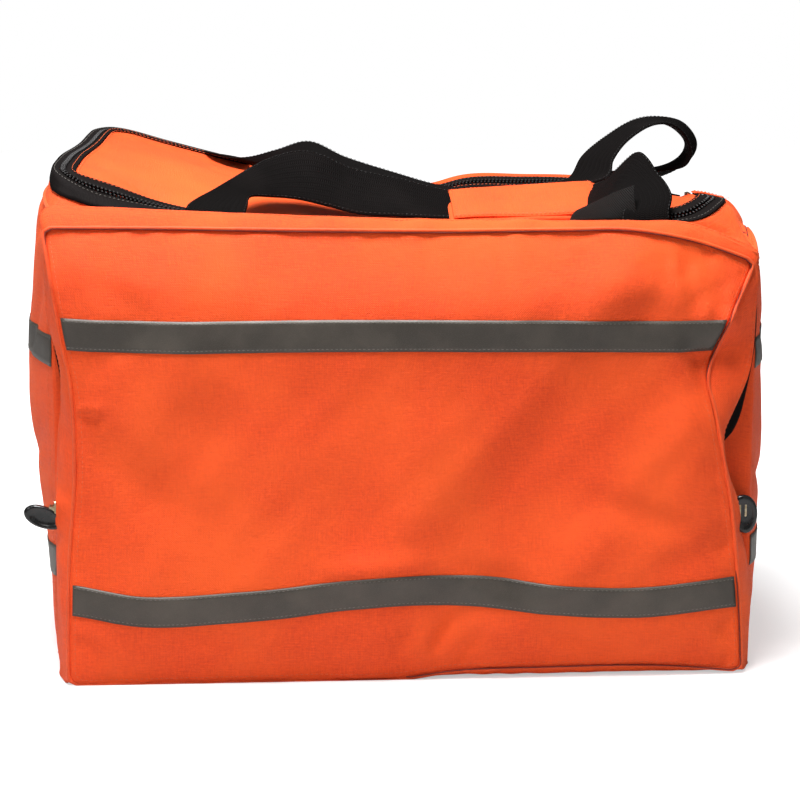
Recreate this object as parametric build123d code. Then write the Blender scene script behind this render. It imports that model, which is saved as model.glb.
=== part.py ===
from build123d import *
import os

# Carry bag for a life-saving throw line: a soft, padded box of hi-vis cloth with a zipped lid,
# a full-size zipped front pocket and two webbing handles joined by a wrap-round grip.
# Millimetres. Origin on the floor under the middle of the bag's length, 130 mm behind the main
# front wall. +X to the user's right, +Z up, the front pocket faces -Y.

# ---- driving dimensions ------------------------------------------------------------------
FRONT_WIDTH = 560.0  # pocket front, edge to edge
END_BULGE = 30.0  # how far each padded end stands out at its middle
BAG_TOP = 366.0  # top face of the border round the lid
POCKET_FACE = -160.0  # outermost plane of the front pocket
WALL_FRONT = -130.0  # outer face of the main front wall
WALL_BACK = 150.0  # outer face of the back wall
CLOTH = 3.0  # padded cloth, outer face to lining
WALL_SEAM = 0.5  # front and back walls stop this short of the end panels
WEBBING = 50.0  # handle webbing width
WEB_THICK = 2.5
STRAP_TURN = 24.0  # outer radius where a strap turns across the lid
REFLECTIVE = 25.0  # reflective tape width
REFLECTIVE_THICK = 0.8

# lid opening, zipped on three sides and sewn down at the right end
LID_LEFT = -270.0
LID_FRONT = -120.0
LID_BACK = 140.0
LID_HINGE_X = 264.0
LID_CORNER = 28.0
LID_TURN = 46.0  # corner where the front run turns along the hinge end
LID_TURN_END = -60.0  # the front run stops here
LID_SWING_GAP = 1.0
ZIP_END_X = 279.0  # the back run stays joined from the hinge line to here
ZIP_PATCH = 4.0
ZIP_PATCH_THICK = 1.2

# zip chain, measured across the run
TAPE_THICK = 1.0
LID_TAPE = 8.0
POCKET_TAPE = 4.2
TEETH_WIDE = 2.6
TEETH_THICK = 2.6
CHAIN_GAP = 1.4
SLIDER_LENGTH = 13.0
SLIDER_WIDE = 11.0
SLIDER_PLATE = 1.5
SLIDER_CLEAR = 0.3
SLIDER_POST = 1.0
LID_SLIDER_GAP = 2.0  # hinge line to the parked lid slider

# front pocket
POCKET_TOP = 362.0
POCKET_BOTTOM = 2.0
POCKET_CORNER = 14.0
PIPING = 4.0
FOLD_Z = 132.0  # the cover folds down here, at the lower ends of the pocket zip
FOLD_GAP = 0.5

# reflective tape heights, centre lines
FRONT_UPPER_Z = 277.0
FRONT_LOWER_Z = 68.0
REAR_UPPER_Z = 266.0
REAR_LOWER_Z = 88.0

# handles
HANDLE_MIDDLE = 22.0  # the handles are sewn on a little right of centre
HANDLE_SPREAD = 174.0  # strap centre lines from that middle
FRONT_HANDLE_REACH = 130.0  # hinge line to the far edge of the cross strap
BACK_HANDLE_REACH = 163.0
HANDLE_START = 4.0
HANDLE_Z = 370.0
FRONT_HANDLE_Y = -125.0
BACK_HANDLE_Y = 145.0
FRONT_HANDLE_TILT = 4.0
BACK_HANDLE_TILT = 24.0
ANCHOR_THICK = 2.0
GRIP_LEFT = 45.0
GRIP_RIGHT = 163.0
GRIP_WALL = 2.0
GRIP_CLEAR = 0.4
FLAP_THICK = 1.5

# pull on each slider
BAIL_RISE = 2.6  # slider plate to the pull's pivot
BAIL_PIN = 0.9
BARREL_OUTER = 2.0
BARREL_INNER = 1.1
BARREL_LENGTH = 5.6
EAR_THICK = 1.2
TAB_LENGTH = 12.0
TAB_WIDE = 5.6
TAB_THICK = 1.2
TAB_BURIED = 5.0  # moulded into the grip
GRIP_LOOP_LENGTH = 22.0
GRIP_LOOP_WIDE = 11.0
GRIP_LOOP_THICK = 4.0

# line coil on the base
BOARD_THICK = 2.4
BOARD_INSET = 8.0
COIL_LENGTH = 430.0
COIL_WIDE = 210.0
COIL_ROPE_BAND = 66.0
COIL_HEIGHT = 96.0
COIL_ROUND = 24.0
COIL_FLOOR = 12.0
TIE_WIDE = 25.0
TIE_THICK = 1.6
TIE_CLEAR = 1.0
TIE_X = 70.0

# ---- worked out from them ------------------------------------------------------------------
HALF_WIDTH = FRONT_WIDTH / 2
MID_Y = (WALL_FRONT + WALL_BACK) / 2
WALL_HEIGHT = BAG_TOP - 2 * CLOTH
COIL_Y = MID_Y
ZIP_CENTRE_INSET = LID_TAPE + TEETH_WIDE + CHAIN_GAP / 2
TAPE_Z = BAG_TOP - CLOTH / 2
POCKET_ZIP_Y = WALL_FRONT - POCKET_TAPE - TEETH_WIDE - CHAIN_GAP / 2
GUSSET_BACK_Y = WALL_FRONT - 2 * POCKET_TAPE - 2 * TEETH_WIDE - CHAIN_GAP
GUSSET_OUT = 0.5  # gusset cloth sits this far inside the piping's outer edge
GUSSET_MID = GUSSET_OUT + CLOTH / 2

os.makedirs("parts", exist_ok=True)


def save(node, *solids):
    """Write one node: a single solid, or a group of separate ones."""
    shape = solids[0] if len(solids) == 1 else Compound(children=list(solids))
    export_step(shape, f"parts/{node}.step")


def block(x0, x1, y0, y1, z0, z1):
    """A box between two opposite corners."""
    box = Box(x1 - x0, y1 - y0, z1 - z0, align=(Align.MIN, Align.MIN, Align.MIN))
    return Pos(x0, y0, z0) * box


def prism(face, z0, height):
    """A plan face raised straight up from z0."""
    return extrude(Pos(0, 0, z0) * face, height, dir=(0, 0, 1))


# ---- plan shapes of the main compartment -----------------------------------------------------


def plan_face():
    """Plan of the main compartment: straight front and back, bowed ends."""
    right_front = (HALF_WIDTH, WALL_FRONT)
    right_back = (HALF_WIDTH, WALL_BACK)
    left_front = (-HALF_WIDTH, WALL_FRONT)
    left_back = (-HALF_WIDTH, WALL_BACK)
    outline = [
        Line(left_front, right_front),
        ThreePointArc(right_front, (HALF_WIDTH + END_BULGE, MID_Y), right_back),
        Line(right_back, left_back),
        ThreePointArc(left_back, (-HALF_WIDTH - END_BULGE, MID_Y), left_front),
    ]
    return make_face(outline)


def bowed_band(side, inner, outer, y_margin=0.0):
    """Plan of a sheet that follows the bowed end, between two offsets from its outer face."""
    y0 = WALL_FRONT + y_margin
    y1 = WALL_BACK - y_margin
    half_span = (WALL_BACK - WALL_FRONT) / 2
    radius = (half_span**2 + END_BULGE**2) / (2 * END_BULGE)
    arc_centre = HALF_WIDTH + END_BULGE - radius
    crown = [side * (arc_centre + radius + offset) for offset in (inner, outer)]
    reach = half_span - y_margin
    edge = [
        side * (arc_centre + ((radius + offset) ** 2 - reach**2) ** 0.5) for offset in (inner, outer)
    ]
    outline = [
        ThreePointArc((edge[0], y0), (crown[0], MID_Y), (edge[0], y1)),
        Line((edge[0], y1), (edge[1], y1)),
        ThreePointArc((edge[1], y1), (crown[1], MID_Y), (edge[1], y0)),
        Line((edge[1], y0), (edge[0], y0)),
    ]
    return make_face(outline)


def lid_face(inset, right=LID_HINGE_X):
    """Plan inside the lid opening; the front run turns its last corner and stops part-way."""
    x0 = LID_LEFT + inset
    x1 = LID_HINGE_X - inset
    y0 = LID_FRONT + inset
    y1 = LID_BACK - inset
    r = LID_CORNER - inset
    c = r * (1 - 2**-0.5)
    turn = LID_TURN - inset
    t = turn * (1 - 2**-0.5)
    outline = [
        ThreePointArc((x0 + r, y0), (x0 + c, y0 + c), (x0, y0 + r)),
        Line((x0, y0 + r), (x0, y1 - r)),
        ThreePointArc((x0, y1 - r), (x0 + c, y1 - c), (x0 + r, y1)),
        Line((x0 + r, y1), (right, y1)),
        Line((right, y1), (right, LID_TURN_END)),
        Line((x1, LID_TURN_END), (x1, y0 + turn)),
        ThreePointArc((x1, y0 + turn), (x1 - t, y0 + t), (x1 - turn, y0)),
        Line((x1 - turn, y0), (x0 + r, y0)),
    ]
    if right != x1:
        outline.insert(5, Line((right, LID_TURN_END), (x1, LID_TURN_END)))
    return make_face(outline)


def lid_run(outer_inset, inner_inset, thick, right=LID_HINGE_X):
    """A strip that follows the lid zip: front with its turned end, left and back."""
    strip = lid_face(outer_inset, right) - lid_face(inner_inset, right)
    return prism(strip, TAPE_Z - thick / 2, thick)


def chain_end(outer_inset, inner_inset, thick):
    """The short length of the back run past the hinge line, where the chain stays joined."""
    y0 = LID_BACK - inner_inset
    y1 = LID_BACK - outer_inset
    return block(LID_HINGE_X, ZIP_END_X, y0, y1, TAPE_Z - thick / 2, TAPE_Z + thick / 2)


# ---- main compartment ------------------------------------------------------------------------


def build_walls():
    inner = HALF_WIDTH - CLOTH - WALL_SEAM
    wall_top = BAG_TOP - CLOTH
    save("front_wall", block(-inner, inner, WALL_FRONT, WALL_FRONT + CLOTH, CLOTH, wall_top))
    save("back_wall", block(-inner, inner, WALL_BACK - CLOTH, WALL_BACK, CLOTH, wall_top))
    for name, side in (("left", -1), ("right", 1)):
        save(f"{name}_end_panel", prism(bowed_band(side, -CLOTH, 0), CLOTH, WALL_HEIGHT))
    save("bottom_panel", prism(plan_face(), 0, CLOTH))


def build_top_border():
    """Cloth border round the lid opening, with a slot for the joined end of the zip."""
    zip_width = 2 * ZIP_CENTRE_INSET
    border = prism(plan_face(), BAG_TOP - CLOTH, CLOTH)
    border -= prism(lid_face(0), BAG_TOP - CLOTH, CLOTH)
    border -= chain_end(0, zip_width, CLOTH)
    save("top_border", border)

    z1 = BAG_TOP + ZIP_PATCH_THICK
    back_y = LID_BACK - zip_width
    back_patch = block(ZIP_END_X, ZIP_END_X + ZIP_PATCH, back_y, LID_BACK, BAG_TOP, z1)
    front_x = LID_HINGE_X + ZIP_PATCH
    front_y = LID_TURN_END - LID_SWING_GAP
    front_patch = block(LID_HINGE_X, front_x, front_y - 2 * ZIP_PATCH, front_y, BAG_TOP, z1)
    save("zip_end_patches", front_patch, back_patch)


def build_base():
    inset = CLOTH + BOARD_INSET
    x = HALF_WIDTH - inset
    board = block(-x, x, WALL_FRONT + inset, WALL_BACK - inset, CLOTH, CLOTH + BOARD_THICK)
    save("base_board", fillet(board.edges().filter_by(Axis.Z), 30))


def rect_face(x, z_low, z_high, radius):
    """Rounded rectangle, drawn flat with its second axis standing for height."""
    height = z_high - z_low
    return Pos(0, z_low + height / 2) * RectangleRounded(2 * x, height, radius)


def upright(face, y0, y1):
    """A face drawn in (x, height), stood up and given depth from y0 back to y1."""
    standing = Plane((0, y1, 0), x_dir=(1, 0, 0), z_dir=(0, -1, 0)) * face
    return extrude(standing, y1 - y0, dir=(0, -1, 0))


def build_back_piping():
    ring = rect_face(HALF_WIDTH, CLOTH, BAG_TOP - CLOTH, 14) - rect_face(
        HALF_WIDTH - PIPING, CLOTH + PIPING, BAG_TOP - CLOTH - PIPING, 10
    )
    save("back_piping", upright(ring, WALL_BACK, WALL_BACK + PIPING))


# ---- reflective tapes ------------------------------------------------------------------------


def build_reflective_tapes():
    half = REFLECTIVE / 2
    for height, z in (("upper", REAR_UPPER_Z), ("lower", REAR_LOWER_Z)):
        for name, side in (("left", -1), ("right", 1)):
            strip = prism(bowed_band(side, 0, REFLECTIVE_THICK, 4.0), z - half, REFLECTIVE)
            save(f"{name}_tape_{height}", strip)
        x = HALF_WIDTH - PIPING
        back = block(-x, x, WALL_BACK, WALL_BACK + REFLECTIVE_THICK, z - half, z + half)
        save(f"back_tape_{height}", back)

    x = HALF_WIDTH - PIPING
    face = POCKET_FACE + 0.5
    for height, z in (("upper", FRONT_UPPER_Z), ("lower", FRONT_LOWER_Z)):
        strip = block(-x, x, face - REFLECTIVE_THICK, face, z - half, z + half)
        save(f"front_tape_{height}", strip)


# ---- lid -----------------------------------------------------------------------------------


def build_lid():
    """Lid with its zip; the chain's outer half is sewn to the border, its inner half to the lid."""
    teeth_out = LID_TAPE
    teeth_in = LID_TAPE + TEETH_WIDE
    far_out = teeth_in + CHAIN_GAP
    far_in = far_out + TEETH_WIDE
    lid_edge = far_in + LID_TAPE
    swing = LID_HINGE_X - LID_SWING_GAP

    tape = lid_run(0, teeth_out, TAPE_THICK) + chain_end(0, teeth_out, TAPE_THICK)
    save("body_zip_tape", tape, chain_end(far_in, lid_edge, TAPE_THICK))
    teeth = lid_run(teeth_out, teeth_in, TEETH_THICK) + chain_end(teeth_out, teeth_in, TEETH_THICK)
    save("body_zip_teeth", teeth, chain_end(far_out, far_in, TEETH_THICK))

    save("lid_zip_teeth", lid_run(far_out, far_in, TEETH_THICK, swing))
    save("lid_zip_tape", lid_run(far_in, lid_edge, TAPE_THICK, swing))
    save("lid_panel", prism(lid_face(lid_edge, swing), BAG_TOP - CLOTH, CLOTH))


# ---- front pocket ----------------------------------------------------------------------------


def pocket_face(inset):
    radius = max(POCKET_CORNER - inset, 2.0)
    return rect_face(HALF_WIDTH - inset, POCKET_BOTTOM + inset, POCKET_TOP - inset, radius)


def pocket_ring(outer_inset, inner_inset, y0, y1):
    return upright(pocket_face(outer_inset) - pocket_face(inner_inset), y0, y1)


def split_at_fold(shape):
    """The part above the fold, which swings, and the part below, which stays."""
    far = 2 * FRONT_WIDTH
    above = shape & block(-far, far, -far, far, FOLD_Z + FOLD_GAP, far)
    below = shape & block(-far, far, -far, far, -far, FOLD_Z - FOLD_GAP)
    return above, below


def build_pocket():
    """Front pocket: cover above the fold, pouch below it, one piped front and one gusset strip."""
    gusset_in = GUSSET_OUT + CLOTH
    bead_back = POCKET_FACE + PIPING
    panel = upright(pocket_face(PIPING), POCKET_FACE + 0.5, POCKET_FACE + 0.5 + CLOTH)
    piping = pocket_ring(0, PIPING, POCKET_FACE, bead_back)
    gusset = pocket_ring(GUSSET_OUT, gusset_in, bead_back, GUSSET_BACK_Y)
    sewn_gusset = pocket_ring(GUSSET_OUT, gusset_in, bead_back, WALL_FRONT)

    cover_panel, pouch_panel = split_at_fold(panel)
    cover_piping, pouch_piping = split_at_fold(piping)
    save("pocket_panel", cover_panel)
    save("pocket_piping", cover_piping)
    save("pocket_gusset", split_at_fold(gusset)[0])
    save("pouch_panel", pouch_panel)
    save("pouch_piping", pouch_piping)
    save("pouch_gusset", split_at_fold(sewn_gusset)[1])

    tape_out = GUSSET_MID - TAPE_THICK / 2
    tape_in = GUSSET_MID + TAPE_THICK / 2
    teeth_out = GUSSET_MID - TEETH_THICK / 2
    teeth_in = GUSSET_MID + TEETH_THICK / 2
    body_teeth_y = WALL_FRONT - POCKET_TAPE
    cover_teeth_y = body_teeth_y - TEETH_WIDE - CHAIN_GAP
    runs = {
        "pocket_body_zip_tape": (tape_out, tape_in, body_teeth_y, WALL_FRONT),
        "pocket_body_zip_teeth": (teeth_out, teeth_in, body_teeth_y - TEETH_WIDE, body_teeth_y),
        "cover_zip_teeth": (teeth_out, teeth_in, cover_teeth_y - TEETH_WIDE, cover_teeth_y),
        "cover_zip_tape": (tape_out, tape_in, GUSSET_BACK_Y, cover_teeth_y - TEETH_WIDE),
    }
    for node, run in runs.items():
        save(node, split_at_fold(pocket_ring(*run))[0])


# ---- sliders and pulls -------------------------------------------------------------------------
# Drawn with the zip running along X, the outer face up (+Z) and the chain's middle at the origin.


def slider_solid():
    gap = TEETH_THICK / 2 + SLIDER_CLEAR
    plate = gap + SLIDER_PLATE
    pivot = plate + BAIL_RISE
    half_x = SLIDER_LENGTH / 2
    half_y = SLIDER_WIDE / 2
    solid = block(-half_x, half_x, -half_y, half_y, gap, plate)
    solid += block(-half_x, half_x, -half_y, half_y, -plate, -gap)
    solid = fillet(solid.edges().filter_by(Axis.Z), 2.5)
    post = SLIDER_POST / 2
    solid += block(-half_x / 2, half_x / 2, -post, post, -gap, gap)
    ear_in = BARREL_LENGTH / 2 + 0.2
    ear_out = ear_in + EAR_THICK
    for y0, y1 in ((ear_in, ear_out), (-ear_out, -ear_in)):
        solid += block(-2, 2, y0, y1, plate, pivot + BAIL_PIN + 0.6)
    pin = Pos(0, 0, pivot) * Rot(90, 0, 0) * Cylinder(BAIL_PIN, 2 * ear_out)
    return solid + pin


def pull_pivot():
    return TEETH_THICK / 2 + SLIDER_CLEAR + SLIDER_PLATE + BAIL_RISE


def pull_solids():
    """Tab with an eye round the bail pin, and the loop moulded on its end, reaching along +X."""
    z = pull_pivot()
    barrel = Pos(0, 0, z) * Rot(90, 0, 0) * Cylinder(BARREL_OUTER, BARREL_LENGTH)
    tab = barrel + block(0, TAB_LENGTH, -TAB_WIDE / 2, TAB_WIDE / 2, z - TAB_THICK / 2, z + TAB_THICK / 2)
    tab -= Pos(0, 0, z) * Rot(90, 0, 0) * Cylinder(BARREL_INNER, 2 * BARREL_LENGTH)

    start = TAB_LENGTH - TAB_BURIED
    loop = Pos(start + GRIP_LOOP_LENGTH / 2, 0) * RectangleRounded(GRIP_LOOP_LENGTH, GRIP_LOOP_WIDE, 4)
    bar = 3.0
    hole_length = GRIP_LOOP_LENGTH - TAB_BURIED - 2 * bar
    hole_middle = start + TAB_BURIED + bar + hole_length / 2
    loop -= Pos(hole_middle, 0) * RectangleRounded(hole_length, GRIP_LOOP_WIDE - 2 * bar, 2)
    grip = prism(loop, z - GRIP_LOOP_THICK / 2, GRIP_LOOP_THICK)
    return tab, grip - tab


def build_sliders():
    half_gap_x = HALF_WIDTH - GUSSET_MID
    park_z = FOLD_Z + 2 + SLIDER_LENGTH / 2
    lid_y = LID_BACK - ZIP_CENTRE_INSET
    lid_x = LID_HINGE_X + LID_SLIDER_GAP + SLIDER_LENGTH / 2
    left = Plane((-half_gap_x, POCKET_ZIP_Y, park_z), x_dir=(0, 0, 1), z_dir=(-1, 0, 0))
    right = Plane((half_gap_x, POCKET_ZIP_Y, park_z), x_dir=(0, 0, 1), z_dir=(1, 0, 0))
    lid = Plane((lid_x, lid_y, TAPE_Z), x_dir=(1, 0, 0), z_dir=(0, 0, 1))
    quarter = Pos(0, 0, pull_pivot()) * Rot(0, -90, 0) * Pos(0, 0, -pull_pivot())
    flat = Pos(0, 0, 0)
    parked = (
        ("pocket", "_left", left, quarter),
        ("pocket", "_right", right, quarter),
        ("lid", "", lid, flat),
    )
    for zip_name, suffix, plane, pull_turn in parked:
        tab, grip = pull_solids()
        save(f"{zip_name}_slider{suffix}", plane.location * slider_solid())
        save(f"{zip_name}_pull_tab{suffix}", plane.location * pull_turn * tab)
        save(f"{zip_name}_pull_grip{suffix}", plane.location * pull_turn * grip)


# ---- handles -----------------------------------------------------------------------------------
# Drawn flat, with the hinge line along X, the straps' middle at the origin and the strap
# reaching along +Y.


def strap_solid(reach):
    outer = HANDLE_SPREAD + WEBBING / 2
    inner = HANDLE_SPREAD - WEBBING / 2
    cross = reach - WEBBING
    half = WEB_THICK / 2
    solid = block(-outer, outer, HANDLE_START, reach, -half, half)
    solid -= block(-inner, inner, HANDLE_START, cross, -half, half)
    return fillet(solid.edges().filter_by(Axis.Z).group_by(Axis.Y)[-1], STRAP_TURN)


def grip_solids():
    """Sleeve round the front strap, the flap that closes over it and its hook strip, in bag X."""
    inner_z = WEB_THICK / 2 + GRIP_CLEAR
    outer_z = inner_z + GRIP_WALL
    near = FRONT_HANDLE_REACH - WEBBING - GRIP_CLEAR
    far = FRONT_HANDLE_REACH + GRIP_CLEAR
    sleeve = block(GRIP_LEFT, GRIP_RIGHT, near - GRIP_WALL, far + GRIP_WALL, -outer_z, outer_z)
    sleeve -= block(GRIP_LEFT, GRIP_RIGHT, near, far, -inner_z, inner_z)
    hook_z = outer_z + 0.4
    flap_z = hook_z + 1.0
    hook = block(GRIP_LEFT + 8, GRIP_RIGHT - 8, near + 2, near + 22, hook_z, flap_z)
    flap = block(GRIP_LEFT + 2, GRIP_RIGHT - 2, near, far, flap_z, flap_z + FLAP_THICK)
    return sleeve, flap, hook


def anchor_solids(y0, y1):
    """Webbing ends sewn down on the border."""
    half = WEBBING / 2
    out = []
    for x in (HANDLE_MIDDLE - HANDLE_SPREAD, HANDLE_MIDDLE + HANDLE_SPREAD):
        out.append(block(x - half, x + half, y0, y1, BAG_TOP, BAG_TOP + ANCHOR_THICK))
    return out


def build_handles():
    front = Pos(0, FRONT_HANDLE_Y, HANDLE_Z) * Rot(FRONT_HANDLE_TILT, 0, 0)
    back = Pos(HANDLE_MIDDLE, BACK_HANDLE_Y, HANDLE_Z) * Rot(0, 0, 180) * Rot(BACK_HANDLE_TILT, 0, 0)
    save("front_handle_strap", front * Pos(HANDLE_MIDDLE, 0, 0) * strap_solid(FRONT_HANDLE_REACH))
    save("back_handle_strap", back * strap_solid(BACK_HANDLE_REACH))
    sleeve, flap, hook = grip_solids()
    save("grip_sleeve", front * sleeve)
    save("grip_flap", front * flap)
    save("grip_hook_strip", front * hook)
    save("front_handle_anchors", *anchor_solids(WALL_FRONT, LID_FRONT))
    save("back_handle_anchors", *anchor_solids(LID_BACK, WALL_BACK))


# ---- the line inside ---------------------------------------------------------------------------


def build_line():
    outer = SlotOverall(COIL_LENGTH, COIL_WIDE)
    inner = SlotOverall(COIL_LENGTH - 2 * COIL_ROPE_BAND, COIL_WIDE - 2 * COIL_ROPE_BAND)
    coil = prism(outer - inner, COIL_FLOOR, COIL_HEIGHT)
    rims = coil.faces().filter_by(Axis.Z).edges()
    coil = fillet(rims, COIL_ROUND)
    save("throw_line", Pos(0, COIL_Y, 0) * coil)

    ties = []
    half = COIL_ROPE_BAND / 2 + TIE_CLEAR
    for x in (-TIE_X, TIE_X):
        for side in (-1, 1):
            y = COIL_Y + side * (COIL_WIDE - COIL_ROPE_BAND) / 2
            z0 = COIL_FLOOR - TIE_CLEAR
            z1 = COIL_FLOOR + COIL_HEIGHT + TIE_CLEAR
            x0 = x - TIE_WIDE / 2
            x1 = x + TIE_WIDE / 2
            tie = block(x0, x1, y - half - TIE_THICK, y + half + TIE_THICK, z0 - TIE_THICK, z1 + TIE_THICK)
            tie -= block(x0, x1, y - half, y + half, z0, z1)
            ties.append(tie)
    save("line_ties", *ties)


build_walls()
build_top_border()
build_base()
build_back_piping()
build_reflective_tapes()
build_lid()
build_pocket()
build_sliders()
build_handles()
build_line()
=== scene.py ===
import math

import bpy
import numpy as np
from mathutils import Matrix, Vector
from mathutils.bvhtree import BVHTree


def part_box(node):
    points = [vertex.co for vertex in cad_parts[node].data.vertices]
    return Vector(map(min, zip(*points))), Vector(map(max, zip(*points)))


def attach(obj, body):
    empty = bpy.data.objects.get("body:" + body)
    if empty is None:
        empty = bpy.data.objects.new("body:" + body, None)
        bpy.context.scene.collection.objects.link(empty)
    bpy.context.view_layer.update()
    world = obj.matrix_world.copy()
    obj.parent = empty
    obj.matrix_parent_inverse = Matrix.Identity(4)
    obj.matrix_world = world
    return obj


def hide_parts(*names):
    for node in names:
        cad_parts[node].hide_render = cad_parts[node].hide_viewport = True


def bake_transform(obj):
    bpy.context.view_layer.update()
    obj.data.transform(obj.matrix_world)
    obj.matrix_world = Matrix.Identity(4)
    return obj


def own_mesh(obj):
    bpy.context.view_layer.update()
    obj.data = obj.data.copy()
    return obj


# A soft carry bag for a life-saving throw line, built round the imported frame.
# Shapes are worked out in millimetres in the frame's own axes and stored in metres.

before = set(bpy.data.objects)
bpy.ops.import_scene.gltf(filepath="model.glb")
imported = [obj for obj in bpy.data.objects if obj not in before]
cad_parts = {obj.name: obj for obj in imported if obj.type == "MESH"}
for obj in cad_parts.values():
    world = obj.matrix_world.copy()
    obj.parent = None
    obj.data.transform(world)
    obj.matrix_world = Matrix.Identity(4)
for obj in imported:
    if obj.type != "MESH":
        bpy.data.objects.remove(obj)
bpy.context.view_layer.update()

MM = 0.001
SEED = 11
rng = np.random.default_rng(SEED)


def box_mm(node):
    lo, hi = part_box(node)
    return np.array(lo) / MM, np.array(hi) / MM


# ---- places taken from the frame -----------------------------------------------------------------
wall_lo = box_mm("front_wall")[0]
back_hi = box_mm("back_wall")[1]
cover_lo = box_mm("pocket_piping")[0]
pouch_lo, pouch_hi = box_mm("pouch_piping")
HALF = pouch_hi[0]
FRONT_Y = wall_lo[1]
BACK_Y = back_hi[1]
FACE_Y = pouch_lo[1]
FOLD_Z = (cover_lo[2] + pouch_hi[2]) / 2
MID_Y = (FRONT_Y + BACK_Y) / 2


# ---- small maths ---------------------------------------------------------------------------------
def curve(x, table):
    """Smooth value read off (place, value) pairs."""
    t = np.array(sorted(table), float)
    xs, ys = t[:, 0], t[:, 1]
    slope = np.gradient(ys, xs)
    x = np.clip(np.asarray(x, float), xs[0], xs[-1])
    i = np.clip(np.searchsorted(xs, x) - 1, 0, len(xs) - 2)
    h = xs[i + 1] - xs[i]
    u = (x - xs[i]) / h
    a = (2 * u**3 - 3 * u**2 + 1) * ys[i] + (u**3 - 2 * u**2 + u) * h * slope[i]
    b = (3 * u**2 - 2 * u**3) * ys[i + 1] + (u**3 - u**2) * h * slope[i + 1]
    return a + b


def step(a, b, x):
    t = np.clip((np.asarray(x, float) - a) / (b - a), 0, 1)
    return t * t * (3 - 2 * t)


def lerp(a, b, w):
    return a + (b - a) * w


def unit(v):
    return v / np.maximum(np.linalg.norm(v, axis=-1, keepdims=True), 1e-9)


def spline(points, count):
    """Catmull-Rom through the points, evenly spaced along its length."""
    p = np.array(points, float)
    p = np.vstack([2 * p[0] - p[1], p, 2 * p[-1] - p[-2]])
    out = []
    for i in range(1, len(p) - 2):
        t = np.linspace(0, 1, 24, endpoint=False)[:, None]
        a, b, c, d = p[i - 1], p[i], p[i + 1], p[i + 2]
        out.append(0.5 * (2 * b + (c - a) * t + (2 * a - 5 * b + 4 * c - d) * t**2
                          + (3 * b - a - 3 * c + d) * t**3))
    out = np.vstack(out + [p[-2:-1]])
    return resample(out, count)


def resample(path, count):
    run = np.concatenate([[0], np.cumsum(np.linalg.norm(np.diff(path, axis=0), axis=1))])
    at = np.linspace(0, run[-1], count)
    return np.stack([np.interp(at, run, path[:, k]) for k in range(path.shape[1])], 1)


def length_of(path):
    return float(np.linalg.norm(np.diff(path, axis=0), axis=1).sum())


def noise_field(scale, count, seed):
    """Smooth wandering value, about -1 to 1, of a point in mm."""
    r = np.random.default_rng(seed)
    k = unit(r.normal(size=(count, 3))) * r.uniform(0.5, 1.5, (count, 1)) * 2 * np.pi / scale
    phase = r.uniform(0, 2 * np.pi, count)

    def value(p):
        return np.sin(p @ k.T + phase).sum(-1) / math.sqrt(count)

    return value


def crease(x, z, line, width, depth):
    """Soft groove (depth above 0) or ridge along a line on a flat panel; it fades at both ends."""
    along, across = line_place(x, z, line)
    fade = step(-0.15, 0.3, along) * (1 - step(0.7, 1.15, along))
    return depth * fade * np.exp(-((across / width) ** 2))


def line_place(x, z, line):
    """Share of the way along a line, and how far to its side in mm."""
    (x0, z0), (x1, z1) = line
    dx, dz = x1 - x0, z1 - z0
    size = math.hypot(dx, dz)
    return ((x - x0) * dx + (z - z0) * dz) / size**2, ((x - x0) * dz - (z - z0) * dx) / size


def facet(x, z, line, slope, ends):
    """Flat face falling away to one side of a fold line."""
    along, across = line_place(x, z, line)
    d = -across
    fall = 2.0 * np.log1p(np.exp(np.clip(d / 2.0, -30, 30)))
    return slope * fall * step(ends[0], ends[1], along) * (1 - step(ends[2], ends[3], along))


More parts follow.
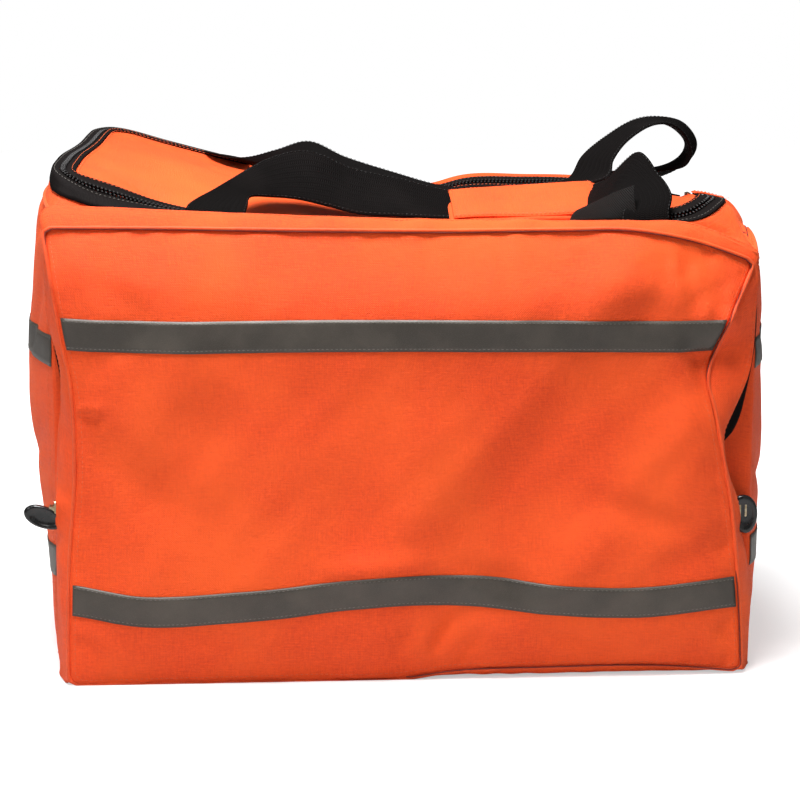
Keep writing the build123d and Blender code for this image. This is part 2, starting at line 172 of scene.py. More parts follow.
# ---- materials -----------------------------------------------------------------------------------
class Graph:
    """A material being built node by node."""

    def __init__(self, name):
        self.m = bpy.data.materials.new(name)
        self.m.use_nodes = True
        self.t = self.m.node_tree
        self.t.nodes.clear()
        self.out = self.t.nodes.new("ShaderNodeOutputMaterial")
        self.p = self.t.nodes.new("ShaderNodeBsdfPrincipled")
        self.t.links.new(self.p.outputs[0], self.out.inputs["Surface"])

    def put(self, socket, value):
        if hasattr(value, "is_output"):
            self.t.links.new(value, socket)
        else:
            socket.default_value = value

    def node(self, kind, settings=None, **inputs):
        n = self.t.nodes.new(kind)
        for k, v in (settings or {}).items():
            setattr(n, k, v)
        for k, v in inputs.items():
            self.put(n.inputs[k.replace("_", " ")], v)
        return n

    def math(self, op, a, b=0.0):
        n = self.t.nodes.new("ShaderNodeMath")
        n.operation = op
        self.put(n.inputs[0], a)
        self.put(n.inputs[1], b)
        return n.outputs[0]

    def uv(self):
        return self.t.nodes.new("ShaderNodeUVMap").outputs[0]

    def here(self):
        return self.t.nodes.new("ShaderNodeTexCoord").outputs["Object"]

    def split(self, vector):
        n = self.node("ShaderNodeSeparateXYZ")
        self.put(n.inputs[0], vector)
        return n.outputs[0], n.outputs[1], n.outputs[2]

    def noise(self, vector, scale, detail=2.0, rough=0.5):
        n = self.node("ShaderNodeTexNoise", Scale=scale, Detail=detail, Roughness=rough)
        self.put(n.inputs["Vector"], vector)
        return n.outputs["Fac"]

    def scaled(self, vector, x, y, z=1.0):
        n = self.node("ShaderNodeMapping")
        self.put(n.inputs["Vector"], vector)
        n.inputs["Scale"].default_value = (x, y, z)
        return n.outputs[0]

    def ramp(self, value, low, high):
        n = self.node("ShaderNodeMapRange")
        self.put(n.inputs["Value"], value)
        n.inputs["From Min"].default_value = low
        n.inputs["From Max"].default_value = high
        return n.outputs[0]

    def mix(self, factor, a, b):
        n = self.t.nodes.new("ShaderNodeMix")
        n.data_type = "RGBA"
        self.put(n.inputs[0], factor)
        self.put(n.inputs[6], a)
        self.put(n.inputs[7], b)
        return n.outputs[2]

    def waves(self, value, pitch):
        """-1 to 1, one full turn per pitch (metres)."""
        return self.math("SINE", self.math("MULTIPLY", value, 2 * math.pi / pitch))

    def bump(self, height, distance, strength=1.0, after=None):
        n = self.node("ShaderNodeBump", Strength=strength, Distance=distance)
        self.put(n.inputs["Height"], height)
        if after is not None:
            self.put(n.inputs["Normal"], after)
        return n.outputs[0]

    def finish(self, colour, rough, normal=None, plain=None, **rest):
        if plain is not None:
            self.p.inputs["Base Color"].default_value = plain
            self.m.diffuse_color = plain
        self.put(self.p.inputs["Base Color"], colour)
        self.put(self.p.inputs["Roughness"], rough)
        if normal is not None:
            self.put(self.p.inputs["Normal"], normal)
        for k, v in rest.items():
            self.put(self.p.inputs[k.replace("_", " ")], v)
        return self.m


def rgb(r, g, b):
    return (r, g, b, 1.0)


def cloth_material(name, deep, main, pale, rough, sheen, weave_pitch, bump_mm, crumple_mm):
    """Woven cloth: over-and-under thread bumps, uneven threads, soft crumple and slow colour drift.

    The weave pitch is in metres; the two bump depths are in millimetres.
    """
    g = Graph(name)
    uv = g.uv()
    u, v, _ = g.split(uv)
    wander = g.noise(g.here(), 9.0, 3.0)
    threads = g.math("MULTIPLY", g.waves(u, weave_pitch), g.waves(v, weave_pitch))
    slub_u = g.noise(g.scaled(uv, 60.0, 1500.0), 1.0, 1.0)
    slub_v = g.noise(g.scaled(uv, 1500.0, 60.0), 1.0, 1.0)
    slub = g.math("ADD", slub_u, slub_v)
    height = g.math("ADD", g.math("MULTIPLY", threads, 0.5), slub)
    speckle = g.math("ADD", g.noise(uv, 620.0, 2.0, 0.6), g.noise(g.scaled(uv, 240.0, 420.0), 1.0, 2.0, 0.6))
    mottle = g.math("ADD", g.math("MULTIPLY", threads, 0.25), g.math("ADD", slub, speckle))
    grain = g.ramp(mottle, 1.35, 2.55)
    height = g.math("ADD", height, g.math("MULTIPLY", speckle, 0.8))
    colour = g.mix(grain, deep, main)
    colour = g.mix(g.ramp(wander, 0.42, 0.85), colour, pale)
    crumple = g.noise(g.here(), 55.0, 4.0, 0.55)
    soft = g.bump(crumple, crumple_mm * MM, 0.8)
    normal = g.bump(height, bump_mm * MM, 0.9, soft)
    roughness = g.math("ADD", rough - 0.06, g.math("MULTIPLY", wander, 0.12))
    return g.finish(colour, roughness, normal, main, Sheen_Weight=sheen, Sheen_Roughness=0.5,
                    Sheen_Tint=rgb(1.0, 0.66, 0.36), Specular_IOR_Level=0.28)


ORANGE_DEEP = rgb(0.72, 0.046, 0.005)
ORANGE = rgb(0.97, 0.092, 0.009)
ORANGE_PALE = rgb(1.0, 0.118, 0.013)


THREAD_TURN = 3000.0  # twist grain of sewing thread, in noise cells per metre


def wrapped(g):
    """The cloth-direction coordinates of a strip or panel: whole, along and across."""
    uv = g.uv()
    u, v, _ = g.split(uv)
    return uv, u, v


def reflective_tape():
    """Glass-bead tape: fine diagonal ribs, bright beads and worn patches."""
    g = Graph("reflective_tape")
    uv, u, v = wrapped(g)
    beads = g.noise(uv, 2600.0, 1.0)
    ribs = g.math("MULTIPLY", g.waves(g.math("ADD", u, v), 0.0022), g.waves(g.math("SUBTRACT", u, v), 0.0022))
    wear = g.noise(g.here(), 26.0, 4.0, 0.6)
    colour = g.mix(g.ramp(wear, 0.35, 0.75), rgb(0.050, 0.042, 0.034), rgb(0.086, 0.072, 0.058))
    colour = g.mix(g.ramp(beads, 0.55, 0.8), colour, rgb(0.130, 0.113, 0.094))
    normal = g.bump(g.math("ADD", g.math("MULTIPLY", ribs, 0.4), beads), 0.00008, 0.7)
    rough = g.math("ADD", 0.36, g.math("MULTIPLY", wear, 0.2))
    return g.finish(colour, rough, normal, rgb(0.10, 0.09, 0.08), Metallic=0.25)


def handle_webbing():
    """Black webbing: chevron weave between long ribs, with fuzz."""
    g = Graph("handle_webbing")
    uv, u, v = wrapped(g)
    ribs = g.math("ABSOLUTE", g.waves(v, 0.0052))
    zigzag = g.math("MULTIPLY", g.math("ABSOLUTE", g.waves(v, 0.0104)), 0.0011)
    chevron = g.waves(g.math("ADD", u, zigzag), 0.0017)
    fuzz = g.noise(g.scaled(uv, 700.0, 1500.0), 1.0, 2.0)
    height = g.math("ADD", g.math("MULTIPLY", chevron, 0.5),
                    g.math("ADD", g.math("MULTIPLY", ribs, 0.5), fuzz))
    wear = g.noise(g.here(), 14.0, 3.0)
    colour = g.mix(g.ramp(height, 0.1, 1.6), rgb(0.0012, 0.0009, 0.0009), rgb(0.0046, 0.0034, 0.0032))
    colour = g.mix(g.ramp(wear, 0.55, 0.95), colour, rgb(0.0080, 0.0062, 0.0060))
    normal = g.bump(height, 0.0004, 0.9)
    return g.finish(colour, 0.7, normal, rgb(0.012, 0.012, 0.013), Sheen_Weight=0.0, Specular_IOR_Level=0.05)


def webbing_wrong_side():
    """The plainer, slightly paler back of the webbing."""
    g = Graph("webbing_wrong_side")
    uv, u, v = wrapped(g)
    ribs = g.math("ABSOLUTE", g.waves(g.math("ADD", u, v), 0.0040))
    height = g.math("ADD", ribs, g.noise(g.scaled(uv, 700.0, 700.0), 1.0, 2.0))
    colour = g.mix(g.ramp(height, 0.3, 1.7), rgb(0.002, 0.0018, 0.0018), rgb(0.013, 0.012, 0.0115))
    normal = g.bump(height, 0.0005, 0.9)
    return g.finish(colour, 0.7, normal, rgb(0.02, 0.02, 0.02), Sheen_Weight=0.0, Specular_IOR_Level=0.08)


def zip_tape_weave():
    """Black twill tape of the zips."""
    g = Graph("zip_tape_weave")
    uv, u, v = wrapped(g)
    twill = g.waves(g.math("ADD", u, v), 0.0011)
    fuzz = g.noise(g.scaled(uv, 900.0, 900.0), 1.0, 2.0)
    height = g.math("ADD", g.math("MULTIPLY", twill, 0.5), fuzz)
    colour = g.mix(g.ramp(height, 0.0, 1.2), rgb(0.002, 0.0012, 0.0012), rgb(0.009, 0.0062, 0.0058))
    normal = g.bump(height, 0.00018, 0.8)
    return g.finish(colour, 0.7, normal, rgb(0.008, 0.006, 0.006), Sheen_Weight=0.0, Specular_IOR_Level=0.08)


def zip_teeth_resin():
    """Scuffed black resin of the moulded teeth."""
    g = Graph("zip_teeth_resin")
    scuff = g.noise(g.here(), 900.0, 3.0)
    colour = g.mix(g.ramp(scuff, 0.45, 0.8), rgb(0.004, 0.003, 0.003), rgb(0.016, 0.013, 0.013))
    rough = g.math("ADD", 0.40, g.math("MULTIPLY", scuff, 0.2))
    normal = g.bump(scuff, 0.00005, 0.5)
    return g.finish(colour, rough, normal, rgb(0.010, 0.009, 0.009), Specular_IOR_Level=0.3)


def slider_plating():
    """Brassy plating with fine scratches."""
    g = Graph("slider_plating")
    here = g.here()
    scratch = g.noise(g.scaled(here, 2500.0, 300.0, 300.0), 1.0, 3.0)
    tone = g.noise(here, 220.0, 3.0)
    colour = g.mix(g.ramp(tone, 0.4, 0.8), rgb(0.34, 0.26, 0.15), rgb(0.62, 0.54, 0.40))
    rough = g.math("ADD", 0.18, g.math("MULTIPLY", scratch, 0.25))
    return g.finish(colour, rough, g.bump(scratch, 0.00003, 0.5), rgb(0.45, 0.43, 0.40), Metallic=1.0)


def pull_moulding():
    """Glossy black moulding of the pulls, slightly smeared."""
    g = Graph("pull_moulding")
    here = g.here()
    grain = g.noise(here, 1400.0, 2.0)
    smear = g.noise(here, 120.0, 2.0)
    colour = g.mix(g.ramp(smear, 0.4, 0.8), rgb(0.003, 0.003, 0.003), rgb(0.009, 0.009, 0.010))
    rough = g.math("ADD", 0.16, g.math("MULTIPLY", smear, 0.22))
    return g.finish(colour, rough, g.bump(grain, 0.00004, 0.5), rgb(0.006, 0.006, 0.007), Coat_Weight=0.12)


def hook_strip_pile():
    """Hook strip: a grid of tiny hooks."""
    g = Graph("hook_strip_pile")
    uv, u, v = wrapped(g)
    hooks = g.math("MULTIPLY", g.waves(u, 0.0016), g.waves(v, 0.0016))
    height = g.math("ADD", hooks, g.noise(uv, 1800.0, 2.0))
    colour = g.mix(g.ramp(height, -0.2, 1.5), rgb(0.006, 0.006, 0.007), rgb(0.045, 0.045, 0.047))
    return g.finish(colour, 0.6, g.bump(height, 0.0004, 1.0), rgb(0.02, 0.02, 0.021))


def stiffener_board():
    """Dark fibre board in the bottom of the bag."""
    g = Graph("stiffener_board")
    here = g.here()
    fibre = g.noise(g.scaled(here, 260.0, 40.0, 40.0), 1.0, 4.0, 0.6)
    spots = g.noise(here, 420.0, 2.0)
    colour = g.mix(g.ramp(fibre, 0.3, 0.75), rgb(0.030, 0.030, 0.031), rgb(0.070, 0.069, 0.067))
    rough = g.math("ADD", 0.5, g.math("MULTIPLY", spots, 0.2))
    return g.finish(colour, rough, g.bump(fibre, 0.0002, 0.6), rgb(0.05, 0.05, 0.05))


def floating_line_braid():
    """Braided yellow line with a blue tracer strand."""
    g = Graph("floating_line_braid")
    uv, u, v = wrapped(g)
    plait = g.math("MULTIPLY", g.waves(g.math("ADD", u, v), 0.0072),
                   g.waves(g.math("SUBTRACT", u, v), 0.0072))
    strand = g.noise(g.scaled(uv, 500.0, 2500.0), 1.0, 2.0)
    tracer = g.ramp(g.waves(g.math("ADD", u, v), 0.0288), 0.80, 0.92)
    height = g.math("ADD", plait, g.math("MULTIPLY", strand, 0.5))
    colour = g.mix(g.ramp(height, -0.8, 1.4), rgb(0.42, 0.20, 0.010), rgb(0.92, 0.56, 0.035))
    colour = g.mix(tracer, colour, rgb(0.05, 0.09, 0.30))
    return g.finish(colour, 0.55, g.bump(height, 0.0009, 0.9), rgb(0.80, 0.46, 0.03), Sheen_Weight=0.2)


def speckled(name, grain, dark, light, plain, rough):
    """A simple two-tone material: threads, and the painted shade line of a folded seam."""
    g = Graph(name)
    spots = g.noise(g.here(), *grain)
    return g.finish(g.mix(spots, dark, light), rough, g.bump(spots, 0.00005, 0.5), plain)


TWIST = (THREAD_TURN, 1.0)
MAT = {
    "cloth": cloth_material("hi_vis_oxford", ORANGE_DEEP, ORANGE, ORANGE_PALE, 0.64, 0.10, 0.0014, 0.30, 1.1),
    "lining": cloth_material("coated_inner_face", rgb(0.50, 0.045, 0.010), rgb(0.70, 0.085, 0.022),
                             rgb(0.74, 0.11, 0.035), 0.42, 0.05, 0.0012, 0.06, 0.8),
    "piping": cloth_material("piping_cloth", rgb(0.60, 0.050, 0.011), rgb(0.84, 0.090, 0.018),
                             ORANGE_PALE, 0.58, 0.2, 0.0011, 0.10, 0.4),
    "tape": reflective_tape(),
    "webbing": handle_webbing(),
    "webbing_face": webbing_wrong_side(),
    "zip_tape": zip_tape_weave(),
    "teeth": zip_teeth_resin(),
    "metal": slider_plating(),
    "moulding": pull_moulding(),
    "hooks": hook_strip_pile(),
    "board": stiffener_board(),
    "rope": floating_line_braid(),
    "thread": speckled("orange_thread", TWIST, rgb(0.55, 0.06, 0.012), rgb(0.95, 0.20, 0.06),
                       rgb(0.80, 0.12, 0.03), 0.5),
    "pale_thread": speckled("pale_thread", TWIST, rgb(0.09, 0.08, 0.07), rgb(0.19, 0.17, 0.15),
                            rgb(0.34, 0.31, 0.28), 0.5),
    # painted shade: dark red-brown for the shade in seam grooves and cloth creases, laid on as thin tubes
    "seam_shade_line": speckled("painted_seam_shade", (300.0, 2.0), rgb(0.10, 0.010, 0.004), rgb(0.22, 0.020, 0.006),
                          rgb(0.15, 0.015, 0.005), 0.8),
    "black_thread": speckled("black_thread", TWIST, rgb(0.003, 0.003, 0.003), rgb(0.012, 0.011, 0.011),
                             rgb(0.008, 0.008, 0.008), 0.45),
}


# ---- mesh building -------------------------------------------------------------------------------
WELD_REACH = 0.00002  # metres


def add_mesh(name, points, faces, uv, mats, smooth=True):
    """A mesh object from points in mm."""
    me = bpy.data.meshes.new(name)
    me.from_pydata((np.asarray(points, float) * MM).tolist(), [], faces)
    if uv is not None:
        layer = me.uv_layers.new(name="UVMap")
        loops = np.zeros(len(me.loops), np.int32)
        me.loops.foreach_get("vertex_index", loops)
        layer.data.foreach_set("uv", np.asarray(uv, float)[loops].astype(np.float32).ravel())
    for m in mats:
        me.materials.append(MAT[m])
    if smooth:
        me.polygons.foreach_set("use_smooth", [True] * len(me.polygons))
    return link(name, me)


def link(name, data):
    """A new object of the scene that shows this data."""
    ob = bpy.data.objects.new(name, data)
    bpy.context.scene.collection.objects.link(ob)
    return ob


def subdivide(ob, levels=1):
    s = ob.modifiers.new("smooth", "SUBSURF")
    s.levels = s.render_levels = levels


def thicken(ob, thick, offset):
    """Gives a sheet its thickness in mm: offset -1 grows it inwards, 0 both ways."""
    solid = ob.modifiers.new("thickness", "SOLIDIFY")
    solid.thickness = thick * MM
    solid.offset = offset
    return solid


def weld(ob):
    w = ob.modifiers.new("weld", "WELD")
    w.merge_threshold = WELD_REACH


def stands_for(ob, slot, *nodes):
    """Hides the CAD nodes that a piece replaces; its slot is not used."""
    if nodes:
        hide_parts(*nodes)
    return ob


def grid_faces(n, m, flip=False):
    i, j = np.meshgrid(np.arange(n - 1), np.arange(m - 1), indexing="ij")
    a = (i * m + j).ravel()
    quad = np.stack([a, a + m, a + m + 1, a + 1], 1)
    return (quad[:, ::-1] if flip else quad).tolist()


def grid_uv(P):
    """Distances along the two ways of the grid, in metres, so a weave keeps its real size."""
    du = np.linalg.norm(np.diff(P, axis=0), axis=2).mean(1)
    dv = np.linalg.norm(np.diff(P, axis=1), axis=2).mean(0)
    u = np.concatenate([[0], np.cumsum(du)]) * MM
    v = np.concatenate([[0], np.cumsum(dv)]) * MM
    return np.stack(np.meshgrid(u, v, indexing="ij"), 2).reshape(-1, 2)


def normals_of(P):
    return unit(np.cross(np.gradient(P, axis=0), np.gradient(P, axis=1)))


def outward(P, away):
    """True when the grid's normals point away from a spot, in mm."""
    return float((normals_of(P) * (P - np.array(away, float))).sum()) > 0


def simulate(P, push, stretch, cap, frames=18, hold=1):
    """Cloth run on a panel sewn down round its rim, pushed outwards by its own filling.

    push is the direction of the push, stretch the share by which the cloth may grow, cap the most it may
    move in mm, and hold the number of rows and columns that the seam holds still.
    """
    n, m = P.shape[:2]
    ob = add_mesh("cloth_run", P.reshape(-1, 3), grid_faces(n, m), None, [])
    rim = np.zeros((n, m), bool)
    rim[:hold] = rim[-hold:] = True
    rim[:, :hold] = rim[:, -hold:] = True
    group = ob.vertex_groups.new(name="sewn")
    group.add(np.flatnonzero(rim.ravel()).tolist(), 1.0, "REPLACE")
    scene = bpy.context.scene
    scene.gravity = [9.81 * c for c in push]
    mod = ob.modifiers.new("cloth", "CLOTH")
    s = mod.settings
    s.quality = 5
    s.mass = 0.25
    s.tension_stiffness = s.compression_stiffness = 18
    s.shear_stiffness = 6
    s.bending_stiffness = 1.6
    s.air_damping = 1.5
    s.vertex_group_mass = "sewn"
    s.shrink_min = -stretch
    mod.collision_settings.use_self_collision = False
    mod.point_cache.frame_start = 1
    mod.point_cache.frame_end = frames + 2
    for f in range(1, frames + 1):
        scene.frame_set(f)
    result = ob.evaluated_get(bpy.context.evaluated_depsgraph_get()).to_mesh()
    co = np.zeros(n * m * 3)
    result.vertices.foreach_get("co", co)
    scene.frame_set(1)
    bpy.data.objects.remove(ob)
    scene.gravity = (0, 0, -9.81)
    move = co.reshape(n, m, 3) / MM - P
    size = np.linalg.norm(move, axis=2, keepdims=True)
    move = move * (cap * np.tanh(size / cap)) / np.maximum(size, 1e-6)
    for _ in range(2):
        inner = move.copy()
        inner[1:-1, 1:-1] = (move[1:-1, 1:-1] * 2 + move[:-2, 1:-1] + move[2:, 1:-1]
                             + move[1:-1, :-2] + move[1:-1, 2:]) / 6
        move = inner
    return P + move


def sheet(name, P, away, mats=("cloth", "lining"), thick=2.2, sub=1, place=None):
    """A cloth panel with real thickness from a grid of points; `away` is a spot behind its face."""
    n, m = P.shape[:2]
    flip = not outward(P, away)
    ob = add_mesh(name, P.reshape(-1, 3), grid_faces(n, m, flip), grid_uv(P), mats)
    solid = thicken(ob, thick, -1)
    solid.use_quality_normals = True
    if len(mats) > 1:
        solid.material_offset = 1
    if sub:
        subdivide(ob, sub)
    if place:
        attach(ob, place)
    return ob


def tube(name, path, radius, mats, sides=10, closed=False, place=None, lump=0.0):
    """Round cord along a path; lump is the share by which its radius wanders."""
    path = np.asarray(path, float)
    if closed:
        tangent = unit(np.roll(path, -1, 0) - np.roll(path, 1, 0))
    else:
        tangent = unit(np.gradient(path, axis=0))
    up = np.array([0.0, 0.0, 1.0])
    if abs(tangent[0] @ up) > 0.9:
        up = np.array([0.0, 1.0, 0.0])
    frames = []
    for t in tangent:
        side = unit(np.cross(t, up))
        up = np.cross(side, t)
        frames.append((side, up))
    side = np.array([f[0] for f in frames])
    up = np.array([f[1] for f in frames])
    angle = np.linspace(0, 2 * np.pi, sides, endpoint=False)
    run = np.concatenate([[0], np.cumsum(np.linalg.norm(np.diff(path, axis=0), axis=1))])
    r = radius * (1 + lump * np.sin(run / 6.1) * np.sin(run / 17.3))
    ring = (path[:, None] + r[:, None, None] * (np.cos(angle)[None, :, None] * side[:, None]
                                                + np.sin(angle)[None, :, None] * up[:, None]))
    n = len(path)
    rows = n if closed else n - 1
    i, j = np.meshgrid(np.arange(rows), np.arange(sides), indexing="ij")
    a, b = (i * sides + j).ravel(), (i * sides + (j + 1) % sides).ravel()
    c, d = (((i + 1) % n) * sides + (j + 1) % sides).ravel(), (((i + 1) % n) * sides + j).ravel()
    faces = np.stack([a, b, c, d], 1).tolist()
    if not closed:
        faces += [list(range(sides))[::-1], list(range((n - 1) * sides, n * sides))]
    around = np.abs(np.linspace(-1, 1, sides, endpoint=False)) * np.pi * radius
    uv = np.stack([np.repeat(run, sides), np.tile(around, n)], 1) * MM
    ob = add_mesh(name, ring.reshape(-1, 3), faces, uv, mats)
    if place:
        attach(ob, place)
    return ob


class Heap:
    """Many small pieces gathered into one mesh."""

    def __init__(self):
        self.v, self.f, self.n = [], [], 0

    def add(self, points, faces):
        self.v.append(points)
        self.f += [[i + self.n for i in f] for f in faces]
        self.n += len(points)

    def make(self, name, mats, place=None):
        v = np.vstack(self.v)
        uv = v[:, :2] * MM + v[:, 2:3] * MM
        ob = add_mesh(name, v, self.f, uv, mats)
        if place:
            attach(ob, place)
        return ob


SPINDLE_SIDES = 5
SPINDLE_RINGS = ((0.12, 0.72), (0.5, 1.0), (0.88, 0.72))


def stitches(heap, path, normal, pitch=3.4, gap=0.9, radius=0.34, lift=0.1):
    """Separate thread stitches sunk into the cloth along a path; all sizes are in mm."""
    path = np.asarray(path, float)
    count = max(2, int(length_of(path) / pitch)) + 1
    at = resample(np.hstack([path, np.asarray(normal, float)]), count)
    p, nrm = at[:, :3], unit(at[:, 3:])
    for k in range(count - 1):
        a, b = p[k], p[k + 1]
        d = b - a
        size = np.linalg.norm(d)
        if size < 1e-6:
            continue
        d = d / size
        a, b = a + d * gap / 2, b - d * gap / 2
        up = nrm[k]
        side = np.cross(d, up)
        rings = [a + up * (lift - radius)]
        for share, fat in SPINDLE_RINGS:
            c = lerp(a, b, share) + up * (lift - radius * (1 - fat))
            for q in range(SPINDLE_SIDES):
                t = 2 * math.pi * q / SPINDLE_SIDES
                rings.append(c + radius * fat * (math.cos(t) * side + math.sin(t) * up * 0.8))
        rings.append(b + up * (lift - radius))
        m = SPINDLE_SIDES
        faces = [[0, 1 + (q + 1) % m, 1 + q] for q in range(m)]
        for ring in range(2):
            s = 1 + ring * m
            faces += [[s + q, s + (q + 1) % m, s + m + (q + 1) % m, s + m + q] for q in range(m)]
        last = 1 + 3 * m
        faces += [[last, 1 + 2 * m + q, 1 + 2 * m + (q + 1) % m] for q in range(m)]
        heap.add(np.array(rings), faces)


TOOTH_LENGTH = 1.9
TOOTH_PITCH = 3.3
# corners of a tooth's section: a square with its corners cut off
TOOTH_RING = [(-0.5, -0.28), (-0.28, -0.5), (0.28, -0.5), (0.5, -0.28),
              (0.5, 0.28), (0.28, 0.5), (-0.28, 0.5), (-0.5, 0.28)]
# share of the way from base to head, then how long and how tall the tooth is there
TOOTH_STATIONS = [(0.0, 0.7, 0.8), (0.15, 1.0, 1.0), (0.6, 0.8, 1.0), (0.85, 1.0, 0.95), (1.0, 0.7, 0.7)]


def tooth(heap, base, along, across, up, wide, thick):
    """One moulded zip tooth: it grips the tape edge at its base and swells again at its head."""
    points = []
    for share, fat, tall in TOOTH_STATIONS:
        for a, b in TOOTH_RING:
            corner_place = along * a * TOOTH_LENGTH * fat + up * b * thick * tall
            points.append(base + across * share * wide + corner_place)
    sides = len(TOOTH_RING)
    last = sides * (len(TOOTH_STATIONS) - 1)
    faces = [list(range(sides))[::-1], list(range(last, last + sides))]
    for s in range(0, last, sides):
        for q in range(sides):
            faces.append([s + q, s + (q + 1) % sides, s + sides + (q + 1) % sides, s + sides + q])
    heap.add(np.array(points), faces)


def teeth_row(heap, tape_edge, across, up, wide, thick, odd=False):
    """Teeth along a tape edge; the row that meets it takes the odd places."""
    both = np.hstack([tape_edge, across, up])
    size = length_of(tape_edge)
    count = int(size / TOOTH_PITCH)
    at = resample(both, count * 2 + 1)[(1 if odd else 0)::2]
    along = unit(np.gradient(at[:, :3], axis=0))
    for k in range(len(at)):
        ac = unit(at[k, 3:6])
        nu = unit(np.cross(along[k], ac))
        if nu @ at[k, 6:9] < 0:
            nu = -nu
        tooth(heap, at[k, :3], along[k], ac, nu, wide, thick)


class Skin:
    """Finds the surface of finished panels, for tapes and stitches laid on them."""

    def __init__(self, grids):
        v, f, n = [], [], 0
        for P in grids:
            a, b = P.shape[:2]
            v.append(P.reshape(-1, 3))
            f += [[i + n for i in q] for q in grid_faces(a, b)]
            n += a * b
        self.tree = BVHTree.FromPolygons(np.vstack(v).tolist(), f)

    def drop(self, starts, way):
        """Points and normals where rays from `starts` along `way` first meet the panels."""
        way = Vector(way)
        p, nr = [], []
        for s in starts:
            hit, normal, _, _ = self.tree.ray_cast(Vector(s), way)
            if hit is None:
                hit, normal, _, _ = self.tree.find_nearest(Vector(s))
            if normal.dot(way) > 0:
                normal = -normal
            p.append(tuple(hit))
            nr.append(tuple(normal))
        return np.array(p), np.array(nr)


def laid_strip(name, skin, at, count, half, way, place, thick=0.5, lift=0.25, inset=2.2):
    """Reflective tape sewn on a panel.

    `at` gives mm points before the panel from shares of the way along and a distance off the middle line;
    `way` is the direction from there to the panel; inset is how far each sewing line is from its edge.
    """
    s = np.linspace(0, 1, count)
    offsets = np.linspace(-1, 1, 7)
    P = np.zeros((len(s), len(offsets), 3))
    N = np.zeros_like(P)
    for k, o in enumerate(offsets):
        p, nr = skin.drop(at(s, o * half), way)
        P[:, k], N[:, k] = p, nr
    for _ in range(3):
        N[1:-1] = unit(N[:-2] + N[1:-1] * 2 + N[2:])
    top = P + N * (lift + thick)
    behind = P.mean((0, 1)) + np.array(way, float) * 400
    ob = sheet(name, top, behind, ("tape",), thick, 0, place=place)
    heap = Heap()
    share = inset / half
    for o in (-1 + share, 1 - share):
        k = (o + 1) / 2 * 6
        a = int(min(max(math.floor(k), 0), 5))
        line = lerp(top[:, a], top[:, a + 1], k - a)
        stitches(heap, line, lerp(N[:, a], N[:, a + 1], k - a), 3.6, 1.5, 0.24, 0.12)
    heap.make(name + "_stitches", ("pale_thread",), place)
    return ob


# ---- how the bag slumps: heights and reaches round the main compartment --------------------------
# top of the front wall: height at each place across
GAP_LINE = [(-280, 380), (-246, 379), (-190, 376), (-128, 373), (-60, 370), (0, 368), (100, 366), (180, 365),
            (228, 363), (256, 353), (280, 342)]
WALL_OVER_GAP = -3.0
WALL_TOP_BACK = [(-282, 396), (-245, 397), (-200, 394), (-124, 384), (-60, 375), (25, 369), (39, 371),
                 (63, 378), (128, 379),
                 (180, 377), (213, 371), (250, 360), (282, 354)]
# tops of the two ends: height at each place from front to back
LEFT_TOP = [(-130, 377), (-95, 382), (-60, 384), (10, 385), (80, 386), (150, 396)]
RIGHT_TOP = [(-130, 339), (-95, 348), (-60, 352), (-20, 356), (60, 360), (100, 361), (125, 357), (150, 354)]
# how far each end bulges past the corner seams at each height
LEFT_REACH = [(0, 1), (23, 2), (59, 3), (104, 9), (157, 18), (200, 23), (261, 21), (330, 14), (381, 11),
              (405, 8)]
RIGHT_REACH = [(0, 2), (14, 5), (49, 13), (90, 18), (121, 20), (211, 19), (300, 16), (332, 12), (350, 9),
               (366, 8)]
# the slumped lid: heights over a coarse net of places, one row for each place from front to back
HEIGHT_X = [-300, -272, -240, -195, -125, -60, 0, 45, 70, 120, 165, 215, 245, 264, 300]
HEIGHT_Y = [-140, -118, -97, -55, 0, 60, 115, 138, 160]
HEIGHT_Z = [
    [395, 395, 385, 376, 365, 363, 362, 361, 361, 361, 361, 362, 362, 362, 360],
    [398, 397, 386, 376, 365, 362, 361, 360, 360, 360, 361, 363, 365, 365, 362],
    [404, 404, 395, 379, 366, 362, 359, 358, 358, 358, 362, 371, 376, 374, 368],
    [410, 411, 407, 396, 380, 366, 358, 354, 354, 356, 364, 377, 380, 376, 366],
    [414, 415, 414, 405, 390, 375, 366, 362, 364, 367, 374, 378, 375, 369, 361],
    [419, 420, 420, 410, 394, 380, 370, 366, 366, 367, 371, 373, 370, 365, 360],
    [424, 425, 424, 412, 394, 382, 373, 368, 371, 371, 372, 371, 367, 363, 360],
    [427, 427, 424, 412, 394, 381, 373, 371, 377, 378, 377, 372, 364, 359, 357],
    [426, 426, 422, 410, 392, 379, 372, 371, 377, 378, 377, 371, 363, 358, 356],
]


def top_height(x, y):
    """Height of the slumped lid and the border round it."""
    x, y = np.asarray(x, float), np.asarray(y, float)
    rows = np.stack([curve(x, list(zip(HEIGHT_X, row))) for row in HEIGHT_Z], 0)
    flat = np.array(HEIGHT_Y, float)
    i = np.clip(np.searchsorted(flat, y) - 1, 0, len(flat) - 2)
    slopes = np.gradient(rows, flat, axis=0)
    h = flat[i + 1] - flat[i]
    u = np.clip((y - flat[i]) / h, 0, 1)
    r0, r1, s0, s1 = (np.take_along_axis(a, k[None], 0)[0] for a in (rows, slopes) for k in (i, i + 1))
    return ((2 * u**3 - 3 * u**2 + 1) * r0 + (u**3 - 2 * u**2 + u) * h * s0
            + (3 * u**2 - 2 * u**3) * r1 + (u**3 - u**2) * h * s1)


def gap_line(x):
    return curve(x, GAP_LINE)


def wall_front_top(x):
    return gap_line(x) + WALL_OVER_GAP


def bow(y):
    """How much of the end panel's reach shows at this depth: none at the seams, all in the middle."""
    v = np.abs((np.asarray(y, float) - MID_Y) / ((BACK_Y - FRONT_Y) / 2))
    return np.clip(1 - v**2.6, 0, 1)


def end_top(y, side):
    return curve(y, LEFT_TOP if side < 0 else RIGHT_TOP)


